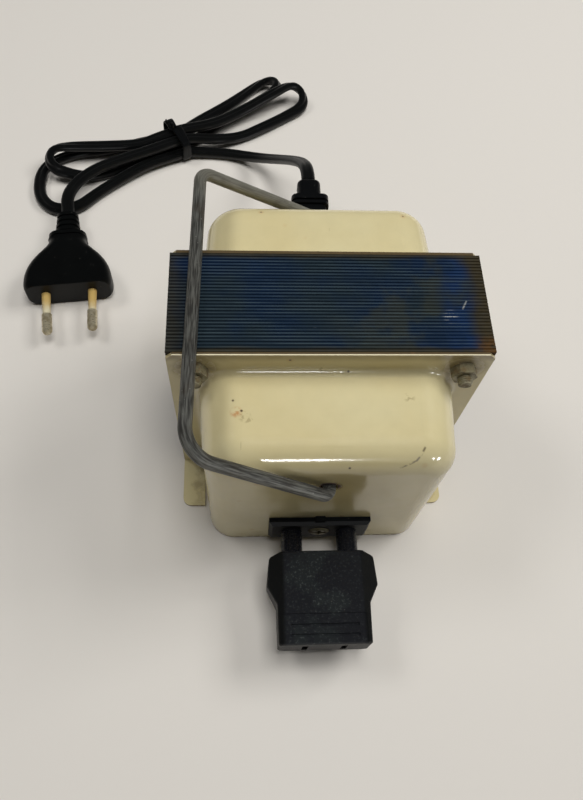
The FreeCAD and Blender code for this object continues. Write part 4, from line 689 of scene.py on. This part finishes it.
def new_piece(name, vertices, faces, material, smooth=True):
    """A mesh object from lists of corners and faces."""
    mesh = bpy.data.meshes.new(name)
    mesh.from_pydata([tuple(v) for v in vertices], [], faces)
    mesh.materials.append(material)
    mesh.polygons.foreach_set("use_smooth", [smooth] * len(mesh.polygons))
    mesh.update()
    made = bpy.data.objects.new(name, mesh)
    bpy.context.scene.collection.objects.link(made)
    return made


def swept(name, rings, material):
    """A solid skin through rings of equal count, closed at both ends."""
    count = len(rings[0])
    vertices = [corner for ring in rings for corner in ring]
    faces = []
    for i in range(len(rings) - 1):
        for j in range(count):
            k = (j + 1) % count
            faces.append((i * count + j, i * count + k, (i + 1) * count + k, (i + 1) * count + j))
    faces.append(tuple(reversed(range(count))))
    faces.append(tuple(range((len(rings) - 1) * count, len(rings) * count)))
    return new_piece(name, vertices, faces, material)


def route_points():
    """Points along the smooth line that has the route as its control points."""
    data = bpy.data.curves.new("cord_line", "CURVE")
    data.dimensions = "3D"
    data.resolution_u = 12
    spline = data.splines.new("NURBS")
    spline.points.add(len(ROUTE) - 1)
    for point, place in zip(spline.points, in_metres(*ROUTE)):
        point.co = (*place, 1)
    spline.order_u = 3
    spline.use_endpoint_u = True
    line = bpy.data.objects.new("cord_line", data)
    bpy.context.scene.collection.objects.link(line)
    bpy.context.view_layer.update()
    mesh = bpy.data.meshes.new_from_object(line)
    points = [vertex.co.copy() for vertex in mesh.vertices]
    bpy.data.objects.remove(line)
    bpy.data.curves.remove(data)
    bpy.data.meshes.remove(mesh)
    return points


def smoothed(values, reach):
    """Each value's mean with its neighbours up to reach places away."""
    last = len(values) - 1
    means = []
    for i in range(len(values)):
        window = values[max(0, i - reach):min(last, i + reach) + 1]
        means.append(sum(window) / len(window))
    return means


def blend(value, low, high):
    """0 up to low, 1 from high on, and smooth between."""
    share = min(1.0, max(0.0, (value - low) / (high - low)))
    return share * share * (3 - 2 * share)


def tangents(points):
    """The way of the line at each of its points."""
    last = len(points) - 1
    return [(points[min(i + 1, last)] - points[max(i - 1, 0)]).normalized() for i in range(last + 1)]


def twin_section(width, thickness):
    """Outline of the flat cord: two round cores side by side with a waist between them."""
    radius = thickness / 2
    offset = (width - thickness) / 2
    waist = math.acos(-offset / radius)
    steps = 6
    half = [
        (offset + radius * math.cos(angle), radius * math.sin(angle))
        for angle in (waist * i / steps for i in range(-steps, steps + 1))
    ]
    return half + [(-x, -y) for x, y in half[1:-1]]


def cord_rings(points, width, thickness):
    """Rings of the flat cord and its centre line: flat on straights, turned up in tight bends."""
    ways = tangents(points)
    turned_up = math.radians(62)
    tight, easy = 1 / (9 * MM), 1 / (26 * MM)
    spread, ease = 4, 9
    end_reach = 20 * MM
    last = len(points) - 1
    turn = []
    for i in range(len(points)):
        before, after = max(0, i - spread), min(last, i + spread)
        run = (points[after] - points[before]).length
        turn.append(blend(ways[before].angle(ways[after]) / run, easy, tight) * turned_up)
    turn = smoothed(smoothed(turn, ease), ease)
    section = twin_section(width, thickness)
    rings, centres = [], []
    for i, (point, way) in enumerate(zip(points, ways)):
        side = way.cross(Vector((0, 0, 1))).normalized()
        over = side.cross(way).normalized()
        wide = side * math.cos(turn[i]) + over * math.sin(turn[i])
        thick = over * math.cos(turn[i]) - side * math.sin(turn[i])
        tall = (width - thickness) / 2 * math.sin(turn[i]) + thickness / 2
        ends = min((point - points[0]).length, (point - points[-1]).length)
        drop = (TUBE_RADIUS - tall) * blend(ends, 0, end_reach)
        centre = point - Vector((0, 0, drop))
        rings.append([centre + wide * u + thick * v for u, v in section])
        centres.append(centre)
    return rings, centres


def tie_ring(share, half_x, half_z):
    """Spot and outward way on a rounded rectangle, for a share of a full turn from 0 to 1."""
    angle = share * 2 * math.pi
    way = Vector((math.cos(angle), 0, math.sin(angle)))
    power = 5.0
    size = (abs(way.x / half_x) ** power + abs(way.z / half_z) ** power) ** (-1 / power)
    out = Vector((way.x / half_x, 0, way.z / half_z)).normalized()
    return way * size, out


def tie_band(material, width, thickness):
    """A coated wire tie wound twice round the strands, with its ends twisted together on top."""
    half_x, half_z = 9.75 * MM, 5.1 * MM
    frame_of_tie = Matrix.Translation(TIE_SPOT) @ Matrix.Rotation(TIE_TURN, 4, "Z")
    turns, steps = 2, 72
    start = 0.2
    turn_gap = 0.4 * MM
    wave_height, wave_pace = 0.25 * MM, 17
    section = (
        (-1, -0.5), (-0.75, -1), (0.75, -1), (1, -0.5), (1, 0.5), (0.75, 1), (0.25, 1.25),
        (-0.25, 1.25), (-0.75, 1), (-1, 0.5),
    )
    rings = []
    for i in range(turns * steps + 1):
        share = start + i / steps
        spot, out = tie_ring(share % 1, half_x, half_z)
        drift = (i / (turns * steps) - 0.5) * (width + turn_gap) * (turns - 1)
        wave = wave_height * math.sin(share * wave_pace)
        ring = []
        for u, v in section:
            local = spot + out * (thickness / 2 * v) + Vector((0, drift + wave + u * width / 2, 0))
            ring.append(frame_of_tie @ local)
        rings.append(ring)
    band = swept("tie_band", rings, material)

    # The tails start on the band and wind round each other along a leaning line
    root, out = tie_ring(start, half_x, half_z)
    lean = Vector((0.75, 0.35, 0.2)).normalized()
    tail_steps, tail_length, tail_rise = 32, 5 * MM, 0.6 * MM
    tail_turn, tail_face_turn = 2.2 * math.pi, 1.2
    tail_spread, tail_taper = 0.75 * MM, 0.15
    tail_width, tail_thickness = width * 0.3, thickness * 0.45
    tails = []
    for word, first_turn in (("left", 0), ("right", math.pi)):
        rings = []
        for i in range(tail_steps + 1):
            share = i / tail_steps
            turn = share * tail_turn + first_turn
            centre = root + out * tail_rise + lean * (share * tail_length)
            around = Vector((0, math.cos(turn), math.sin(turn))) * tail_spread * (1 - tail_taper * share)
            face_turn = turn + tail_face_turn
            flat = Vector((0, math.cos(face_turn), math.sin(face_turn)))
            thin = Vector((0, -flat.z, flat.y))
            ring = []
            for u, v in section:
                local = centre + around + flat * (u * tail_width) + thin * (v * tail_thickness)
                ring.append(frame_of_tie @ local)
            rings.append(ring)
        tails.append(swept(f"tie_tail_{word}", rings, material))
    return band, tails


def thread(name, x, z, material):
    """Helical thread on the end of a through bolt, in front of its nut."""
    pitch = 0.7 * MM
    depth = 0.34 * MM
    root = BOLT_RADIUS - 0.1 * MM
    foot_half, crest_half = 0.3 * pitch, 0.06 * pitch
    per_turn = 28
    turns = BOLT_REACH / pitch - 0.4
    rings = []
    for i in range(int(turns * per_turn)):
        angle = 2 * math.pi * i / per_turn
        out = Vector((math.cos(angle), 0, math.sin(angle)))
        axis = Vector((x, -NUT_FACE - foot_half - pitch * i / per_turn, z))
        taper = blend(i, 0, 5) * blend(turns * per_turn - i, 1, 8)
        crest = root + depth * taper
        profile = ((root, -foot_half), (crest, -crest_half), (crest, crest_half), (root, foot_half))
        rings.append([axis + out * radius + Vector((0, shift, 0)) for radius, shift in profile])
    return swept(name, rings, material)


def area_light(name, spot, aim, size, power, lit=True, glints=True):
    """A soft lamp at a spot, turned to aim; without lit it only glints, without glints it only lights."""
    data = bpy.data.lights.new(name, "AREA")
    data.shape = "RECTANGLE"
    data.size, data.size_y = size
    data.energy = power
    lamp = bpy.data.objects.new(name, data)
    lamp.visible_diffuse = lit
    lamp.visible_glossy = glints
    lamp.location = spot
    lamp.rotation_mode = "QUATERNION"
    lamp.rotation_quaternion = (Vector(aim) - Vector(spot)).to_track_quat("-Z", "Y")
    bpy.context.scene.collection.objects.link(lamp)


def photo_camera(lens):
    """The photograph's viewpoint: pitch below the horizon, then roll, then yaw."""
    ahead = Vector((0, math.cos(CAMERA_PITCH), -math.sin(CAMERA_PITCH)))
    right = Vector((1, 0, 0))
    down = ahead.cross(right)
    rolled_right = right * math.cos(CAMERA_ROLL) + down * math.sin(CAMERA_ROLL)
    rolled_down = down * math.cos(CAMERA_ROLL) - right * math.sin(CAMERA_ROLL)
    axes = Matrix((rolled_right, -rolled_down, -ahead)).transposed()
    data = bpy.data.cameras.new("photo_camera")
    data.lens = lens
    data.sensor_width = 36
    data.clip_start = 0.01
    camera = bpy.data.objects.new("photo_camera", data)
    camera.matrix_world = (
        Matrix.Translation(CAMERA_SPOT) @ Matrix.Rotation(CAMERA_YAW, 4, "Z") @ axes.to_4x4()
    )
    bpy.context.scene.collection.objects.link(camera)
    bpy.context.scene.camera = camera


class TRANSFORMER_OT_stage(bpy.types.Operator):
    """Make the floor, the lights and the camera"""

    bl_idname = "transformer.stage"
    bl_label = "Stage"

    def execute(self, context):
        stage = context.scene.transformer_stage
        context.scene.view_settings.view_transform = "Standard"
        photo_camera(stage.lens)

        # The floor lies a hair under the feet
        half = stage.floor_size / 2
        floor_level = -0.05 * MM
        corners = [(x * half, y * half, floor_level) for x, y in ((-1, -1), (1, -1), (1, 1), (-1, 1))]
        new_piece("floor", corners, [(0, 1, 2, 3)], floor_finish(), smooth=False)

        # Three soft lamps light the part; the strip and the sparks only draw its glints
        area_light("top_light", (0.12, 0, 1.35), (0, 0, 0.04), (0.6, 0.5), stage.top, glints=False)
        area_light("key_light", (0.72, 0.28, 0.85), (0, 0.02, 0.04), (0.5, 0.4), stage.key, glints=False)
        area_light(
            "side_light", (-0.62, 0.3, 0.95), (-0.03, 0.03, 0.03), (0.4, 0.3), stage.side, glints=False
        )
        front_edge = (0, -0.04, 0.07)
        area_light("strip_light", (0.0625, -1.1, 0.5), front_edge, (0.175, 0.06), stage.strip, lit=False)
        for number, spot in enumerate(((0.66, -0.82, 0.35), (0.8, -0.68, 0.18)), 1):
            area_light(f"spark_light_{number}", spot, front_edge, (0.1, 0.1), stage.spark, lit=False)

        # A faint even light from all round, and a pale backdrop that only the camera sees
        world = bpy.data.worlds.new("studio")
        world.use_nodes = True
        context.scene.world = world
        sky = world.node_tree.nodes["Background"]
        sky.inputs["Color"].default_value = (1.0, 0.985, 0.96, 1.0)
        path = world.node_tree.nodes.new("ShaderNodeLightPath")
        seen = world.node_tree.nodes.new("ShaderNodeMapRange")
        seen.inputs["To Min"].default_value = stage.sky
        seen.inputs["To Max"].default_value = stage.backdrop
        world.node_tree.links.new(path.outputs["Is Camera Ray"], seen.inputs["Value"])
        world.node_tree.links.new(seen.outputs["Result"], sky.inputs["Strength"])
        return {"FINISHED"}


class TRANSFORMER_OT_cord(bpy.types.Operator):
    """Lay the flat cord along its route and tie its hank"""

    bl_idname = "transformer.cord"
    bl_label = "Cord and tie"

    def execute(self, context):
        sizes = context.scene.transformer_cord
        rings, centres = cord_rings(route_points(), sizes.width, sizes.thickness)
        cord = swept("mains_cord", rings, cord_sheath())
        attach(cord, "transformer")
        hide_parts("cord_lead", "cord_hank", "cord_plug_lead")
        coat = black_plastic("tie_coat", colours().plastic, 0.4 * MM, 0.03 * MM, 0.4)
        band, tails = tie_band(coat, sizes.tie_width, sizes.tie_thickness)
        for piece in (band, *tails):
            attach(piece, "transformer")
        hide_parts("cord_tie")
        return {"FINISHED"}


class TRANSFORMER_OT_core(bpy.types.Operator):
    """Finish the core's laminations"""

    bl_idname = "transformer.core"
    bl_label = "Core"

    def execute(self, context):
        finish_with(lamination_steel(), "e_laminations", "i_laminations")
        return {"FINISHED"}


class TRANSFORMER_OT_covers(bpy.types.Operator):
    """Finish the two end covers"""

    bl_idname = "transformer.covers"
    bl_label = "Covers"

    def execute(self, context):
        finish_with(cover_enamel(), "front_cover", "rear_cover")
        return {"FINISHED"}


class TRANSFORMER_OT_fasteners(bpy.types.Operator):
    """Finish the nuts, bolts and screws, and cut threads on the bolts' ends"""

    bl_idname = "transformer.fasteners"
    bl_label = "Fasteners"

    def execute(self, context):
        zinc = zinc_fastener()
        finish_with(zinc, "through_bolts", "bolt_nuts", "outlet_screw", "outlet_nut")
        for number, (x, z) in enumerate(BOLT_SPOTS, 1):
            piece = thread(f"bolt_thread_{number}", x, z, zinc)
            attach(piece, "transformer")
        return {"FINISHED"}


class TRANSFORMER_OT_handle(bpy.types.Operator):
    """Finish the wire handle"""

    bl_idname = "transformer.handle"
    bl_label = "Handle"

    def execute(self, context):
        finish_with(handle_wire(), "handle")
        return {"FINISHED"}


class TRANSFORMER_OT_outlet(bpy.types.Operator):
    """Finish the outlet, its contacts and the strain relief"""

    bl_idname = "transformer.outlet"
    bl_label = "Outlet and strain relief"

    def execute(self, context):
        moulded = black_plastic("outlet_plastic", shade(19, 21, 22), 0.5 * MM, 0.02 * MM, 0.4, shine=0.12)
        finish_with(moulded, "outlet_body")
        relief = black_plastic("relief_plastic", colours().plastic, 0.5 * MM, 0.03 * MM, 0.36)
        finish_with(relief, "strain_relief")
        finish_with(brass("contact_brass", shade(176, 148, 86)), "outlet_contacts")
        return {"FINISHED"}


class TRANSFORMER_OT_adapter(bpy.types.Operator):
    """Finish the adapter with its pins and contacts"""

    bl_idname = "transformer.adapter"
    bl_label = "Adapter"

    def execute(self, context):
        finish_with(adapter_plastic(), "adapter_body", "adapter_cap")
        finish_with(brass("adapter_brass", shade(170, 150, 96)), "adapter_pins", "adapter_contacts")
        return {"FINISHED"}


class TRANSFORMER_OT_plug(bpy.types.Operator):
    """Finish the plug, its pins and their sleeves"""

    bl_idname = "transformer.plug"
    bl_label = "Plug"

    def execute(self, context):
        moulded = black_plastic("plug_plastic", shade(9, 10, 10), 0.5 * MM, 0.03 * MM, 0.34, shine=0.17)
        finish_with(moulded, "plug_body")
        finish_with(pin_metal(), "plug_pins")
        finish_with(sleeve_cream(), "plug_pin_sleeves")
        return {"FINISHED"}


class TRANSFORMER_OT_inside(bpy.types.Operator):
    """Finish the coil, the leads and the splices inside the covers"""

    bl_idname = "transformer.inside"
    bl_label = "Inside"

    def execute(self, context):
        finish_with(fibre("former_board", shade(150, 118, 78)), "coil_former")
        finish_with(winding_copper(), "low_voltage_winding", "high_voltage_winding")
        finish_with(fibre("coil_paper", shade(196, 178, 136)), "winding_paper", "coil_wrap")
        finish_with(lead_sleeve("front_lead_skin", shade(150, 44, 34)), "front_leads")
        finish_with(lead_sleeve("rear_lead_skin", shade(60, 62, 66)), "rear_leads")
        finish_with(lead_sleeve("core_skin", shade(96, 62, 40)), "cord_cores")
        finish_with(lead_sleeve("splice_skin", shade(206, 200, 184)), "splice_caps")
        return {"FINISHED"}


class TRANSFORMER_PT_panel(bpy.types.Panel):
    """Lists the steps that dress the transformer"""

    bl_idname = "TRANSFORMER_PT_panel"
    bl_label = "Voltage transformer"
    bl_space_type = "VIEW_3D"
    bl_region_type = "UI"
    bl_category = "Transformer"

    def draw(self, context):
        for group in ("transformer_colours", "transformer_cord", "transformer_stage"):
            settings = getattr(context.scene, group)
            box = self.layout.box()
            for name in settings.bl_rna.properties.keys():
                if name not in ("name", "rna_type"):
                    box.prop(settings, name)
        for step in STEPS:
            self.layout.operator(step.bl_idname)


STEPS = (
    TRANSFORMER_OT_stage, TRANSFORMER_OT_cord, TRANSFORMER_OT_core, TRANSFORMER_OT_covers,
    TRANSFORMER_OT_fasteners, TRANSFORMER_OT_handle, TRANSFORMER_OT_outlet, TRANSFORMER_OT_adapter,
    TRANSFORMER_OT_plug, TRANSFORMER_OT_inside,
)
GROUPS = {
    "transformer_colours": TransformerColours,
    "transformer_cord": TransformerCord,
    "transformer_stage": TransformerStage,
}


def register():
    for name, group in GROUPS.items():
        bpy.utils.register_class(group)
        setattr(bpy.types.Scene, name, bpy.props.PointerProperty(type=group))
    for kind in (*STEPS, TRANSFORMER_PT_panel):
        bpy.utils.register_class(kind)


def unregister():
    for kind in reversed((*STEPS, TRANSFORMER_PT_panel)):
        bpy.utils.unregister_class(kind)
    for name, group in GROUPS.items():
        delattr(bpy.types.Scene, name)
        bpy.utils.unregister_class(group)


def main():
    register()
    for step in STEPS:
        name = step.bl_idname.split(".")[1]
        getattr(bpy.ops.transformer, name)()
    bpy.context.view_layer.update()


if __name__ == "__main__":
    main()
